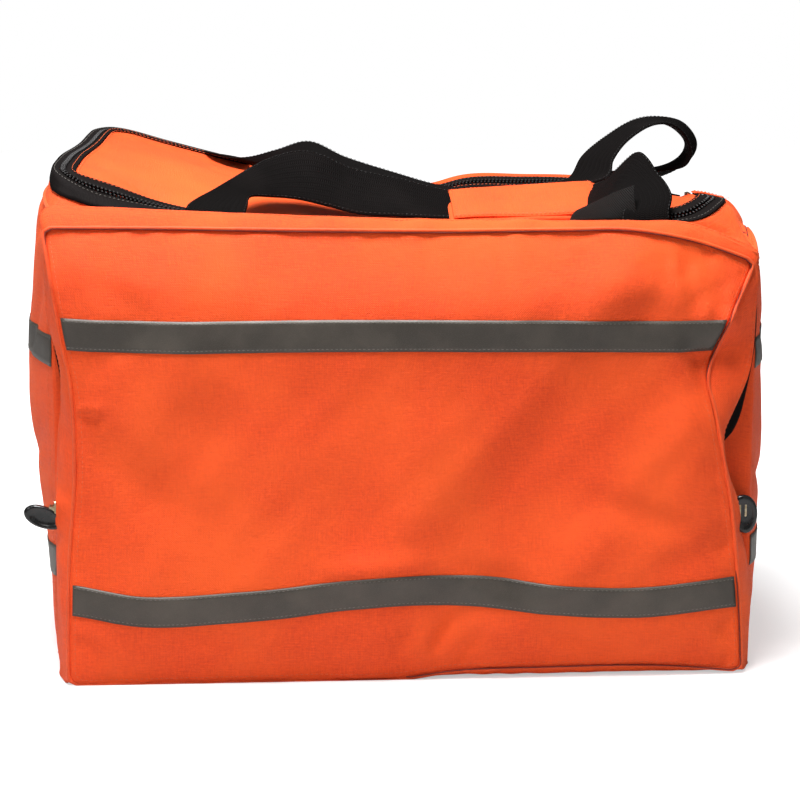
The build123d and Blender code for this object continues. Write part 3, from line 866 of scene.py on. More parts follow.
def end_x(y, z, side):
    reach = curve(z, LEFT_REACH if side < 0 else RIGHT_REACH)
    return side * (HALF + reach * bow(y))


pad_noise = noise_field(120.0, 10, 3)
fine_noise = noise_field(38.0, 14, 5)


def soften(P, way, amount):
    """Uneven stuffing behind a panel, held flat at its seams."""
    n, m = P.shape[:2]
    a = np.sin(np.linspace(0, np.pi, n))[:, None] ** 0.6
    b = np.sin(np.linspace(0, np.pi, m))[None] ** 0.6
    flat = P.reshape(-1, 3)
    push = (pad_noise(flat) * amount + fine_noise(flat) * amount * 0.25).reshape(n, m)
    return P + (push * a * b)[..., None] * np.array(way, float)


pucker_noise = noise_field(17.0, 12, 21)


def pucker(P, depth, way, near, reach):
    """Small gathers where thread has drawn a seam tight; near is each point's distance from that seam."""
    ripple = pucker_noise(P.reshape(-1, 3)).reshape(near.shape)
    fade = np.exp(-near / reach) * step(0.0, 4.0, near)
    return P + (depth * ripple * fade)[..., None] * np.array(way, float)


def end_grid(side, step_mm=5.0):
    n = int((BACK_Y - FRONT_Y) / step_mm)
    m = int(385 / step_mm)
    y = np.linspace(FRONT_Y, BACK_Y, n)[:, None] * np.ones((1, m))
    t = np.linspace(0, 1, m)[None]
    z = t * end_top(y, side)
    P = np.stack([end_x(y, z, side), y, z], 2)
    P = soften(P, (side, 0, 0), 2.2)
    yy, zz = P[..., 1], P[..., 2]
    for line, width, depth in END_CREASES[side]:
        P[..., 0] -= side * crease(yy, zz, line, width, depth) * np.minimum(1, bow(yy) * 2.5)
    P = pucker(P, 1.5, (side, 0, 0), yy - FRONT_Y, 15.0)
    P = pucker(P, 1.2, (side, 0, 0), BACK_Y - yy, 13.0)
    return pucker(P, 1.6, (side, 0, 0), end_top(yy, side) - zz, 16.0)


# each fold is a line across the panel, its width and its depth
END_CREASES = {
    -1: [(((-118, 330), (-60, 250)), 9, 4.5), (((-112, 200), (-40, 165)), 10, 4.0),
         (((60, 350), (110, 270)), 11, 4.0),
         (((-100, 395), (-75, 345)), 7, 4.0), (((20, 60), (90, 34)), 10, 4.0),
         (((-40, 380), (-20, 300)), 12, 3.5)],
    1: [(((-110, 352), (-50, 318)), 7, 5.5), (((-70, 350), (-10, 300)), 8, 5.0),
        (((0, 358), (60, 322)), 8, 4.5),
        (((-120, 300), (-60, 240)), 9, 4.5), (((-112, 170), (-40, 130)), 10, 4.0),
        (((30, 240), (110, 210)), 11, 3.5),
        (((80, 355), (120, 300)), 9, 4.0)],
}


def front_wall_grid():
    n, m = 94, 60
    x = np.linspace(-HALF, HALF, n)[:, None] * np.ones((1, m))
    z = np.linspace(0, 1, m)[None] * wall_front_top(x)
    return np.stack([x, FRONT_Y + 0 * x, z], 2)


def back_wall_grid():
    n, m = 94, 62
    x = np.linspace(-HALF, HALF, n)[:, None] * np.ones((1, m))
    t = np.linspace(0, 1, m)[None]
    z = t * curve(x, WALL_TOP_BACK)
    swell = 8 * np.clip(1 - np.abs(x / HALF) ** 3, 0, 1) ** 0.8 * np.sin(np.pi * np.clip(t, 0, 1)) ** 0.7
    P = np.stack([x, BACK_Y + swell, z], 2)
    P = soften(P, (0, 1, 0), 2.0)
    for line, width, depth in BACK_CREASES:
        P[..., 1] -= crease(P[..., 0], P[..., 2], line, width, depth)
    return P


BACK_CREASES = [(((-250, 350), (-170, 290)), 12, 5.0), (((40, 350), (60, 270)), 12, 5.5),
                (((200, 330), (255, 260)), 12, 4.5),
                (((-80, 60), (20, 30)), 12, 4.0), (((140, 180), (235, 150)), 14, 3.5),
                (((-235, 170), (-150, 140)), 14, 3.5)]


def bottom_grid():
    n, m = 96, 48
    y = np.linspace(FRONT_Y, BACK_Y, m)[None] * np.ones((n, 1))
    s = np.linspace(0, 1, n)[:, None]
    x = lerp(end_x(y, 0 * y, -1), end_x(y, 0 * y, 1), s)
    rise = 1.2 * (1 + pad_noise(np.stack([x, y, 0 * x],
                                         2).reshape(-1, 3)).reshape(n, m)) * np.sin(np.pi * s) ** 0.5
    rim = np.sin(np.pi * np.linspace(0, 1, m))[None] ** 0.5
    return np.stack([x, y, np.clip(rise * rim, 0, 4)], 2)


# ---- the run of the lid zip ----------------------------------------------------------------------
ZIP_INSET = 22.6
RUN_LEFT, RUN_FRONT, RUN_BACK = -270.0, -120.0, 140.0
LEFT_TURN = 28.0
RIGHT_TURN = 46.0
BACK_TURN = 44.0
RIGHT_STOP_Y = -60.0
HINGE_X = 264.0
RUN_END_X = 279.0


def corner(cx, cy, radius, a0, a1, count):
    """Points round a corner of the run and their inward directions."""
    a = np.radians(np.linspace(a0, a1, count))
    n = np.stack([np.cos(a), np.sin(a)], 1)
    return np.array([cx, cy]) + radius * n, -n


def straight(p, q, normal, count):
    w = np.linspace(0, 1, count)[:, None]
    return lerp(np.array(p, float), np.array(q, float), w), np.tile(np.array(normal, float), (count, 1))


def lid_run():
    """Outer edge of the lid zip in plan, its inward direction, and the matching spot on the wall tops."""
    rt, lt, bt = RIGHT_TURN, LEFT_TURN, BACK_TURN
    x0, x1, y0, y1 = RUN_LEFT, HINGE_X, RUN_FRONT, RUN_BACK
    parts = [
        (straight((x1, RIGHT_STOP_Y), (x1, y0 + rt), (-1, 0), 5), [(HALF, RIGHT_STOP_Y), (HALF, y0 + rt)]),
        (corner(x1 - rt, y0 + rt, rt, 0, -90, 26), [(HALF, y0 + rt), (HALF, FRONT_Y), (x1 - rt, FRONT_Y)]),
        (straight((x1 - rt, y0), (x0 + lt, y0), (0, 1), 92), [(x1 - rt, FRONT_Y), (x0 + lt, FRONT_Y)]),
        (corner(x0 + lt, y0 + lt, lt, 270, 180, 12),
         [(x0 + lt, FRONT_Y), (-HALF, FRONT_Y), (-HALF, y0 + lt)]),
        (straight((x0, y0 + lt), (x0, y1 - bt), (1, 0), 40), [(-HALF, y0 + lt), (-HALF, y1 - bt)]),
        (corner(x0 + bt, y1 - bt, bt, 180, 90, 18), [(-HALF, y1 - bt), (-HALF, BACK_Y), (x0 + bt, BACK_Y)]),
        (straight((x0 + bt, y1), (RUN_END_X, y1), (0, -1), 100), [(x0 + bt, BACK_Y), (RUN_END_X, BACK_Y)]),
    ]
    P, N, W = [], [], []
    for k, ((p, nr), wall) in enumerate(parts):
        w = resample(np.array(wall, float), len(p))
        first = 0 if k == 0 else 1
        P.append(p[first:])
        N.append(nr[first:])
        W.append(w[first:])
    return np.vstack(P), unit(np.vstack(N)), np.vstack(W)


RUN_P, RUN_N, RUN_W = lid_run()


LEAN = [(-120, -5), (-95, -10), (-60, -8), (-30, -5), (30, 4), (80, 8), (140, 15)]


def slump(x, y):
    """The left end of the lid has leaned: out at the front, in at the back."""
    lean = curve(y, LEAN)
    narrow = -5.6 * step(-270, -247.4, x) * (1 - step(-247, -190, x))
    return x + lean * (1 - step(-262, -190, x)) + narrow * step(-118, -90, y)


def run_level(inset, rise=0.0):
    """Points of the zip band this far in from its outer edge, lifted off the cloth by rise."""
    p = RUN_P + RUN_N * inset
    p[:, 0] = slump(p[:, 0], p[:, 1])
    return np.column_stack([p, top_height(p[:, 0], p[:, 1]) + rise])


def wall_rim():
    """Points on the wall tops that face each point of the zip run."""
    x, y = RUN_W[:, 0], RUN_W[:, 1]
    on_end = np.abs(np.abs(x) - HALF) < 1e-6
    side = np.sign(x)
    on_back = np.where(y > BACK_Y - 1e-6, curve(x, WALL_TOP_BACK), 0)
    z = np.where(y < FRONT_Y + 1e-6, wall_front_top(x), on_back)
    for s in (-1, 1):
        mine = on_end & (side == s) & (y > FRONT_Y + 1e-6) & (y < BACK_Y - 1e-6)
        z = np.where(mine, end_top(y, s), z)
        x = np.where(on_end & (side == s), end_x(y, end_top(y, s), s), x)
    return np.column_stack([x, y, z])


def border_grid():
    """Cloth from the wall tops in to the zip, standing a little proud of both."""
    rim, lip = wall_rim(), run_level(0.0)
    rows = []
    ledge = 2.5 * (RUN_P[:, 1] > -100) + 0.5
    for w in np.linspace(0, 1, BORDER_ROWS):
        p = lerp(rim, lip, w)
        p[:, 2] = lerp(rim[:, 2], lip[:, 2], w ** 1.4) + ledge * np.sin(np.pi * w) ** 0.8
        p[:, 2] += rumple(p[:, 0], p[:, 1]) * math.sin(math.pi * min(1.0, 0.12 + w)) ** 0.5
        rows.append(p)
    return np.stack(rows, 1)


BORDER_ROWS = 15
RIM_CREASES = [
    (((264, -62), (300, -40)), 4.0, -10.0), (((276, -58), (281, -118)), 4.0, -9.0),
               (((212, -122), (266, -119)), 3.0, -7.0),
    (((250, -90), (274, -92)), 10.0, 5.0), (((286, -76), (300, -70)), 4.0, 4.0),
               (((288, -98), (300, -92)), 3.5, -5.0),
    (((-262, -122), (-285, -96)), 4.0, -3.5), (((-274, 40), (-292, 62)), 5.0, -3.0),
]


def rumple(x, y):
    """Folds and puffs in the cloth round the lid opening."""
    return sum(crease(x, y, line, width, depth) for line, width, depth in RIM_CREASES)


def right_border_grid():
    """Strip between the lid's hinge seam and the right wall's top seam."""
    y = np.linspace(RIGHT_STOP_Y, 140.0, 60)
    rows = []
    for w in np.linspace(0, 1, BORDER_ROWS):
        wall = end_x(y, end_top(y, 1), 1)
        x = lerp(HINGE_X, wall, w)
        z = lerp(top_height(np.full_like(y, HINGE_X), y), end_top(y, 1), w ** 1.7)
        z = z + 3.0 * np.sin(np.pi * w)
        z = z + 4.5 * w * (np.exp(-(((y + 45) / 9) ** 2)) - np.exp(-(((y + 26 - 12 * w) / 7) ** 2)))
        z = z + 4.0 * w * (np.exp(-(((y + 2) / 10) ** 2)) - np.exp(-(((y - 40 - 20 * w) / 9) ** 2)))
        z = z + rumple(x, y)
        rows.append(np.column_stack([x, y, z]))
    P = np.stack(rows, 1)
    start = border_grid()[0][::-1]
    own = step(RIGHT_STOP_Y, RIGHT_STOP_Y + 22, y)[:, None]
    return np.concatenate([P[..., :2], (lerp(start[None, :, 2], P[..., 2], own))[..., None]], 2)


def lid_grid():
    n, m = 100, 46
    y = np.linspace(RUN_FRONT + ZIP_INSET, RUN_BACK - ZIP_INSET, m)[None] * np.ones((n, 1))
    s = np.linspace(0, 1, n)[:, None]
    left_cut = 0 * y
    for r, near in ((LEFT_TURN - ZIP_INSET, y - y.min()), (BACK_TURN - ZIP_INSET, y.max() - y)):
        left_cut += np.where(near < r, r - np.sqrt(np.maximum(r * r - (r - near) ** 2, 0)), 0)
    rr = RIGHT_TURN - ZIP_INSET
    low = y - y.min()
    right_cut = np.where(low < rr, rr - np.sqrt(np.maximum(rr * rr - (rr - low) ** 2, 0)), 0)
    right = HINGE_X - ZIP_INSET * (1 - step(RIGHT_STOP_Y - 2, RIGHT_STOP_Y + 3, y)) - right_cut
    x = slump(lerp(RUN_LEFT + ZIP_INSET + left_cut, right, s), y)
    P = np.stack([x, y, top_height(x, y)], 2)
    P = soften(P, (0, 0, 1), 1.6)
    for line, width, depth in LID_CREASES:
        P[..., 2] -= crease(P[..., 0], P[..., 1], line, width, depth)
    return P


LID_CREASES = [(((-60, -80), (20, 90)), 12, 3.0), (((40, -20), (75, 110)), 10, 3.5),
               (((-170, 60), (-110, 20)), 12, 2.5),
               (((190, -60), (235, -20)), 9, 3.0), (((-235, -60), (-180, -85)), 9, 2.5)]


# ---- front pocket --------------------------------------------------------------------------------
FRONT_LEFT = [(-1, -271), (49, -270), (98, -268), (171, -262), (212, -262), (244, -264), (276, -270),
              (307, -275), (347, -281), (364, -284)]
FRONT_RIGHT = [(0, 270), (41, 268), (79, 265), (108, 262), (141, 258), (162, 254), (178, 251), (199, 247),
               (218, 243), (240, 238),
               (246, 238.5), (263, 245), (290, 256), (318, 270), (333, 277.5)]
FRONT_TOP = [(-284, 364), (-202, 363), (-86, 360.5), (32, 359), (120, 359.5), (178, 359), (205, 355),
             (232, 348.5), (256, 340.5),
             (278, 332)]
FRONT_BOTTOM = [(-280, 1), (-88, 1), (-7, 1), (33, 6), (115, 8), (197, 8), (275, 2)]
CORNER_R = 7.0
PANEL_N, PANEL_M = 132, 88
PANEL_TALL, PANEL_HALF = 360.0, 270.0  # rough size from which the outline is worked out
# each fold is a line on the panel, its width and its depth; a ridge has a depth below 0
CREASES_FRONT = [
    (((208, 276), (258, 176)), 5, -3.5), (((228, 266), (250, 206)), 9, 6.0),
                 (((240, 250), (262, 190)), 7, 4.0),
    (((214, 344), (233, 286)), 6, 4.5), (((232, 348), (246, 300)), 16, 5.0),
                 (((262, 330), (244, 296)), 12, 4.0),
    (((206, 352), (216, 326)), 7, -2.0), (((200, 300), (150, 282)), 12, 1.8),
    (((18, 22), (34, 62)), 6, 4.2), (((34, 12), (58, 38)), 6, 3.4), (((-14, 18), (0, 46)), 7, 2.6),
                 (((6, 14), (14, 44)), 5, -2.4),
    (((-268, 226), (-236, 222)), 4, -2.6), (((-268, 218), (-240, 212)), 5, 3.0),
    (((-262, 208), (-170, 130)), 20, 3.4), (((-266, 244), (-190, 300)), 14, 2.2),
                 (((-150, 236), (-214, 128)), 22, 3.2),
    (((262, 120), (206, 88)), 12, 3.0), (((-70, 92), (28, 97)), 12, -4.0), (((40, 92), (104, 74)), 10, 3.0),
    (((-250, 330), (-205, 300)), 12, 2.0), (((-120, 338), (60, 334)), 16, 1.8),
                 (((140, 150), (232, 116)), 12, 2.6),
    (((248, 44), (268, 20)), 7, 3.0), (((-262, 40), (-240, 16)), 7, 2.6), (((-170, 44), (-120, 22)), 9, 2.2),
    (((250, 102), (268, 112)), 3, 3.5), (((110, 40), (160, 22)), 8, 2.6),
                 (((262, 150), (240, 146)), 5, 2.4), (((-266, 60), (-238, 52)), 6, 2.2),
]
# faces that fall away beside a fold: the fold's line, the slope, and where it starts and ends along the line
FACETS_FRONT = [(((214, 348), (238, 283)), 0.23, (-0.2, 0.1, 0.85, 1.05)),
                (((214, 268), (253, 188)), 0.48, (0.0, 0.3, 0.8, 1.05)),
                (((-40, 58), (26, 2)), 0.10, (-0.2, 0.3, 0.7, 1.3))]


def outline_grid(left, right, bottom, top, y):
    """Points over a soft-cornered panel; its rim follows the four edge curves."""
    s = np.linspace(0, 1, PANEL_N)[:, None] * np.ones((1, PANEL_M))
    t0 = np.linspace(0, 1, PANEL_M)
    t = (0.5 - 0.5 * np.cos(np.pi * t0)) * 0.35 + t0 * 0.65
    t = np.ones((PANEL_N, 1)) * t[None]
    z = t * PANEL_TALL
    x = lerp(-PANEL_HALF, PANEL_HALF, s)
    for _ in range(6):
        near = np.minimum(t, 1 - t) * PANEL_TALL
        cut = np.where(near < CORNER_R, CORNER_R
                       - np.sqrt(np.maximum(CORNER_R**2 - (CORNER_R - near) ** 2, 0)), 0)
        x = lerp(left(z) + cut, right(z) - cut, s)
        z = lerp(bottom(x), top(x), t)
    return np.stack([x, np.full_like(x, y), z], 2)


SHOULDER = 13.0
BEFORE_FACE = 60.0  # how far before the pocket face a line is dropped on it from
GUSSET_ROWS = 11
TOOTH_WIDE, TOOTH_THICK = 2.6, 2.5
# pitch, gap, radius and lift of the stitches in a plain seam, in a zip seam, and round a small patch
SEAM_STITCH = (4.0, 1.3, 0.28, 0.2)
ZIP_STITCH = (3.6, 1.2, 0.28, 0.25)
HINGE_STITCH = (3.6, 1.2, 0.3, 0.3)
PATCH_STITCH = (3.0, 1.0, 0.28, 0.2)


def front_panel_grid():
    """The face of the pocket: bulging, rounded back at its top, with folds and fallen faces."""
    P = outline_grid(lambda z: curve(z, FRONT_LEFT), lambda z: curve(z, FRONT_RIGHT),
                     lambda x: curve(x, FRONT_BOTTOM), lambda x: curve(x, FRONT_TOP), FACE_Y + 3.0)
    s = np.linspace(0, 1, PANEL_N)[:, None]
    t = np.linspace(0, 1, PANEL_M)[None]
    rim = np.minimum(1, 9 * s * (1 - s)) * np.minimum(1, 7 * t * (1 - t))
    rim = 1 - (1 - rim) ** 2
    swell = np.sin(np.pi * s)
    belly = 4.0 + 3.5 * swell * np.sin(np.pi * t) + 2.5 * swell * np.exp(-(((t - 0.25) / 0.16) ** 2))
    x, z = P[..., 0], P[..., 2]
    P[..., 1] += SHOULDER * step(0.84, 1.0, t) ** 1.1 * (1 - 0.6 * step(195, 275, x)) - rim * belly
    keep = np.minimum(1, 40 * s * (1 - s)) * np.minimum(1, 30 * t * (1 - t))
    for line, width, depth in CREASES_FRONT:
        P[..., 1] += keep * crease(x, z, line, width, depth)
    for line, slope, ends in FACETS_FRONT:
        P[..., 1] += facet(x, z, line, slope, ends)
    flat = P.reshape(-1, 3)
    P[..., 1] -= keep * (pad_noise(flat) * 1.3 + fine_noise(flat) * 0.4).reshape(x.shape)
    beside = np.minimum(x - curve(z, FRONT_LEFT), curve(z, FRONT_RIGHT) - x)
    near = np.minimum(beside, np.minimum(curve(x, FRONT_TOP) - z, z - curve(x, FRONT_BOTTOM)))
    return pucker(P, 0.9, (0, -1, 0), np.maximum(near, 0), 11.0)


LIP_LEFT = [(2, -281), (126, -281), (161, -280), (200, -278), (236, -274), (262, -275), (284, -283),
            (330, -285), (380, -286)]
LIP_RIGHT = [(2, 281), (69, 281), (96, 277), (109, 274), (141, 267), (160, 261), (181, 256), (198, 256),
             (210, 261),
             (223, 267), (256, 278.5), (290, 281), (345, 283)]
MOUTH_LEFT = [(2, -276), (161, -277), (210, -273), (237, -273), (275, -279), (380, -280)]
MOUTH_RIGHT = [(2, 276), (69, 275), (96, 271), (109, 268), (141, 261), (160, 255), (176, 252), (186, 256),
               (194, 263), (200, 266),
               (230, 274), (260, 279), (345, 279)]
LIP_CLOSED_Y = 2.5
LIP_OPEN_Y = 12.0
LIP_TOP_Y = -2.0


def lip_grid():
    """Back edge of the gusset, which laps over the zip."""
    P = outline_grid(lambda z: curve(z, LIP_LEFT), lambda z: curve(z, LIP_RIGHT),
                     lambda x: 0 * x + 1.0, lambda x: gap_line(x) + 1.0, FRONT_Y)
    x, z = P[..., 0], P[..., 2]
    left_slit = step(226, 240, z) * (1 - step(262, 282, z))
    right_slit = step(176, 186, z) * (1 - step(235, 268, z))
    slit = np.where(x < 0, left_slit, right_slit)
    slider = step(FOLD_Z - 16, FOLD_Z - 4, z) * (1 - step(FOLD_Z + 16, FOLD_Z + 28, z))
    gap = np.clip(slit + slider, 0, 1) * step(200, 240, np.abs(x))
    top = step(-26, -6, z - gap_line(x))
    P[..., 1] = FRONT_Y - lerp(LIP_CLOSED_Y, LIP_OPEN_Y, gap) * (1 - top) - LIP_TOP_Y * top
    return P


def mouth_grid():
    """Mouth of the pocket on the front wall, where the fixed half of its zip is sewn."""
    return outline_grid(lambda z: curve(z, MOUTH_LEFT), lambda z: curve(z, MOUTH_RIGHT),
                        lambda x: 0 * x + 2.0, lambda x: gap_line(x) - 5.0, FRONT_Y)


def rim_loop(P):
    """Rim of a panel grid as one closed loop, from the foot of its left side and over the top."""
    return np.vstack([P[0, :-1], P[:-1, -1], P[-1, :0:-1], P[:0:-1, 0]])


def fold(ob):
    """Bakes the piece's transform into its mesh."""
    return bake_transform(ob)


def build_pocket():
    front = simulate(front_panel_grid(), (0, -1, 0), 0.006, 5.0, hold=2)
    panel = fold(sheet("front_panel_cloth", front, (0, 0, 180), ("cloth", "lining"), 2.4, 1))
    stands_for(panel, "orange_cloth", "pocket_panel", "pouch_panel")
    rim, lip, mouth = rim_loop(front), rim_loop(lip_grid()), rim_loop(mouth_grid())
    out = unit((rim - rim.mean(0)) * np.array([1, 0, 1]))
    build_front_seam(rim, out)
    gusset = build_gusset(rim, lip, out)
    # the zip runs from fold to fold over the top
    k = np.flatnonzero(rim[:, 2] >= FOLD_Z)
    k = np.arange(k.min(), k.max() + 1)
    build_pocket_zip(mouth[k], gusset[k, -1], out[k])
    build_pocket_sewing(front, rim, out, lerp(gusset[k, -3], gusset[k, -2], 0.5), out[k])
    return front


def build_front_seam(rim, out):
    """The rolled seam round the front, and a dark tube of painted shade where it meets the panel."""
    z = rim[:, 2]
    rolled = np.clip(step(330, 350, z) + (rim[:, 0] > 0) * step(225, 250, z), 0, 1)
    back = np.array([0, 1.0, 0]) * (1.3 - 1.8 * rolled)[:, None]
    cord = tube("pocket_edge_piping", rim + back + out * 1.4, 1.5, ("piping",), 10, True, lump=0.12)
    fold(cord)
    stands_for(cord, "orange_cloth", "pocket_piping", "pouch_piping")
    # how far the painted shade line comes forward to show at the rim; elsewhere it sinks out of sight
    shows = np.clip(step(338, 352, z) + (rim[:, 0] > 0) * (step(236, 250, z) + 0.8 * (1 - step(70, 95, z)))
                    + 0.5 * (z < 12) * step(-60, 40, rim[:, 0]), 0, 1)
    sunk = np.array([0, 1.0, 0]) * (2.2 - 3.7 * shows)[:, None]
    fold(tube("front_seam_shade_line", rim + sunk - out * 0.15, 0.55, ("seam_shade_line",), 6, True))


def build_gusset(rim, lip, out):
    """Cloth from the front seam back over the zip; below the fold it is sewn to the wall."""
    low = 1 - step(14, 30, rim[:, 2])
    wave = noise_field(44.0, 8, 31)(rim)
    rows = []
    for w in np.linspace(0, 1, GUSSET_ROWS):
        p = lerp(rim, lip, w)
        belly = (2.2 + 1.5 * wave) * math.sin(math.pi * w)
        p = p + out * belly[:, None]
        sink = step(0.0, 0.28, w) * low
        p[:, 2] = lerp(p[:, 2], np.minimum(p[:, 2], 1.0), sink)
        p[:, 1] -= 2.0 * low * math.sin(math.pi * min(1, w * 2))
        rows.append(p)
    G = np.stack(rows, 1)
    G[:, :, 2] = np.maximum(G[:, :, 2], 0.6)
    near = np.linalg.norm(G - G[:, :1], axis=2)
    ripple = pucker_noise(G.reshape(-1, 3)).reshape(near.shape)
    G = G + (0.9 * ripple * np.exp(-near / 9) * step(0, 3, near))[..., None] * out[:, None]
    G = np.vstack([G, G[:1]])
    gusset = fold(sheet("pocket_gusset_cloth", G, (0, -140, 180), ("cloth", "lining"), 2.0, 1))
    stands_for(gusset, "orange_cloth", "pocket_gusset", "pouch_gusset")
    return G


def build_pocket_zip(mouth, lip, out):
    """Both sides of the pocket zip: one on the wall, one hanging from the gusset's lip."""
    forward = np.tile([0, -1.0, 0], (len(out), 1))
    rows = [mouth - out * s + np.array([0, -0.7 - 0.1 * s, 0]) for s in np.linspace(-1.0, 11.0, 7)]
    tape = np.stack(rows, 1)
    ob = sheet("pocket_body_zip_tape_cloth", tape, (0, -120, 180), ("zip_tape",), 1.0, 0, place="bag")
    stands_for(ob, "zip_tape", "pocket_body_zip_tape")
    heap = Heap()
    teeth_row(heap, tape[:, -1], -out, forward, TOOTH_WIDE, TOOTH_THICK)
    stands_for(heap.make("pocket_body_zip_chain", ("teeth",), "bag"), "zip_teeth", "pocket_body_zip_teeth")
    inward = unit(np.array([0, 0.06, 0]) - out)
    start = lip + np.array([0, 0.9, 0]) - out * 1.5
    tape = np.stack([start + inward * s for s in np.linspace(0, 4.2, 4)], 1)
    ob = fold(sheet("cover_zip_tape_cloth", tape, (0, -110, 180), ("zip_tape",), 1.0, 0))
    stands_for(ob, "zip_tape", "cover_zip_tape")
    heap = Heap()
    teeth_row(heap, tape[:, -1], inward, forward, TOOTH_WIDE, TOOTH_THICK, odd=True)
    stands_for(fold(heap.make("cover_zip_chain", ("teeth",))), "zip_teeth", "cover_zip_teeth")


def build_pocket_sewing(front, rim, out, lip_line, lip_out):
    """Sewing lines beside the front seam and along the gusset's lip."""
    inner = rim - out * 5.0
    loop = np.vstack([inner, inner[:1]])
    loop[:, 1] = FACE_Y - BEFORE_FACE
    heap = Heap()
    stitches(heap, *Skin([front]).drop(loop, (0, 1, 0)), 4.0, 1.4, 0.25, 0.08)
    fold(heap.make("front_panel_sewing", ("thread",)))
    heap = Heap()
    stitches(heap, lip_line + lip_out * 0.1, lip_out, *SEAM_STITCH)
    fold(heap.make("gusset_sewing", ("thread",)))


# ---- main compartment ----------------------------------------------------------------------------
UP = np.array([0, 0, 1.0])
INSIDE = (0, 10, 180)  # a spot inside the bag, and one high up under its lid
UNDER_LID = (0, 10, 300)


def build_body():
    ends = {s: simulate(end_grid(s), (s, 0, -0.2), 0.012, 7.0) for s in (-1, 1)}
    back = simulate(back_wall_grid(), (0, 1, -0.15), 0.010, 7.0)
    floor = bottom_grid()
    for name, P, node in (("front_wall_cloth", front_wall_grid(), "front_wall"),
                          ("back_wall_cloth", back, "back_wall"),
                          ("left_end_cloth", ends[-1], "left_end_panel"),
                          ("right_end_cloth", ends[1], "right_end_panel"),
                          ("bottom_cloth", floor, "bottom_panel")):
        stands_for(sheet(name, P, INSIDE, ("cloth", "lining"), 2.6, 1, place="bag"), "orange_cloth", node)
    border = border_grid()
    ob = sheet("top_border_cloth", border, UNDER_LID, ("cloth", "lining"), 2.2, 1, place="bag")
    stands_for(ob, "orange_cloth", "top_border")
    right = right_border_grid()
    ob = sheet("right_border_cloth", right, UNDER_LID, ("cloth", "lining"), 2.2, 1, place="bag")
    stands_for(ob, "orange_cloth")
    build_crease_shade_lines([border, right])
    build_body_seams(ends, floor, border)
    return ends, back


def build_body_seams(ends, floor, border):
    """Cord down the back corners, round the foot and along the wall tops, and the sewing beside them."""
    heap = Heap()
    for s, word in ((-1, "left"), (1, "right")):
        path = ends[s][-1, ::2] + np.array([s * 0.5, 1.0, 0])
        path[:, 2] = np.maximum(path[:, 2], 2.4)
        ob = tube(f"back_corner_piping_{word}", path, 2.3, ("piping",), 10, place="bag")
        stands_for(ob, "orange_cloth", "back_piping")
        for row, lean in ((2, -0.3), (-3, 0.3)):
            line = ends[s][row, 3:-1]
            stitches(heap, line, np.tile([float(s), lean, 0], (len(line), 1)), *SEAM_STITCH)
    ob = tube("top_seam_cord", wall_rim() - UP * 0.4, 1.7, ("piping",), 8, place="bag")
    stands_for(ob, "orange_cloth")
    lip = lerp(border[:, -2], border[:, -1], 0.55)
    facing = normals_of(border)[:, -2] * (1 if outward(border, UNDER_LID) else -1)
    stitches(heap, lip, facing, *SEAM_STITCH)
    heap.make("main_seam_sewing", ("thread",), "bag")
    foot = np.vstack([floor[0, :], floor[:, -1], floor[-1, ::-1], floor[::-1, 0]])
    foot = resample(foot, 420)[:-1]
    foot[:, 2] = 2.0
    stands_for(tube("bottom_edge_cord", foot, 1.9, ("piping",), 8, True, place="bag"), "orange_cloth")


# lines of painted crease shade, in plan, laid on the border cloth beside the right end of the lid zip
CREASE_SHADE_LINES = [[(286, -52), (282, -84), (280, -112)], [(282, -84), (276, -70), (270, -64)],
                   [(214, -121.5), (240, -122), (266, -120)], [(290, -66), (300, -58)]]


def build_crease_shade_lines(grids):
    """Dark lines of painted shade along the hard little folds where the cloth has bunched beside the lid
    zip's right end.
    """
    skin = Skin(grids)
    for k, line in enumerate(CREASE_SHADE_LINES):
        flat = spline(line, 16)
        p, _ = skin.drop(np.column_stack([flat, np.full(16, 460.0)]), (0, 0, -1))
        ends = np.sin(np.linspace(0.0, np.pi, 16))[:, None] ** 0.5
        p = p + np.array([0, 0, 1.0]) * (1.6 * ends - 1.1)
        tube(f"rumple_shade_line_{k}", p, 0.55, ("seam_shade_line",), 6, place="bag")


def shade_tape_rows():
    """Body zip tape spread over the border at the front left: a black sheet of painted shade in that corner.
    """
    at = RUN_P[:, 0]
    # share of the border that the black sheet of painted shade covers, at the front left only
    shade_spread = 0.86 * step(-96, -150, at) * (1 - step(-104, -62, RUN_P[:, 1])) * (1 - 0.5 * step(-236, -262, at))
    border = border_grid()
    rows = np.arange(len(border))
    shade_rows = []
    for share in (1.0, 0.66, 0.33):
        place = (1 - shade_spread * share) * (border.shape[1] - 1)
        i = np.minimum(place.astype(int), border.shape[1] - 2)
        q = lerp(border[rows, i], border[rows, i + 1], (place - i)[:, None])
        shade_rows.append(q + np.array([0, -0.9, 1.7]))
    return shade_rows


def build_lid():
    """The lid panel, then the two sides of its zip and their sewing."""
    lid = simulate(lid_grid(), (0, 0, -1), 0.012, 4.0)
    ob = hinge_blend(sheet("lid_cloth", lid, BELOW_LID, ("cloth", "lining"), 2.4, 1))
    stands_for(ob, "orange_cloth", "lid_panel")
    build_body_zip()
    on_lid = RUN_P[:, 0] < HINGE_X + 0.5
    k = np.flatnonzero(on_lid)
    k = k[k < np.flatnonzero(on_lid & (RUN_P[:, 1] > RUN_BACK - 1))[-1] + 1]
    build_lid_zip(k)
    build_lid_sewing(k)


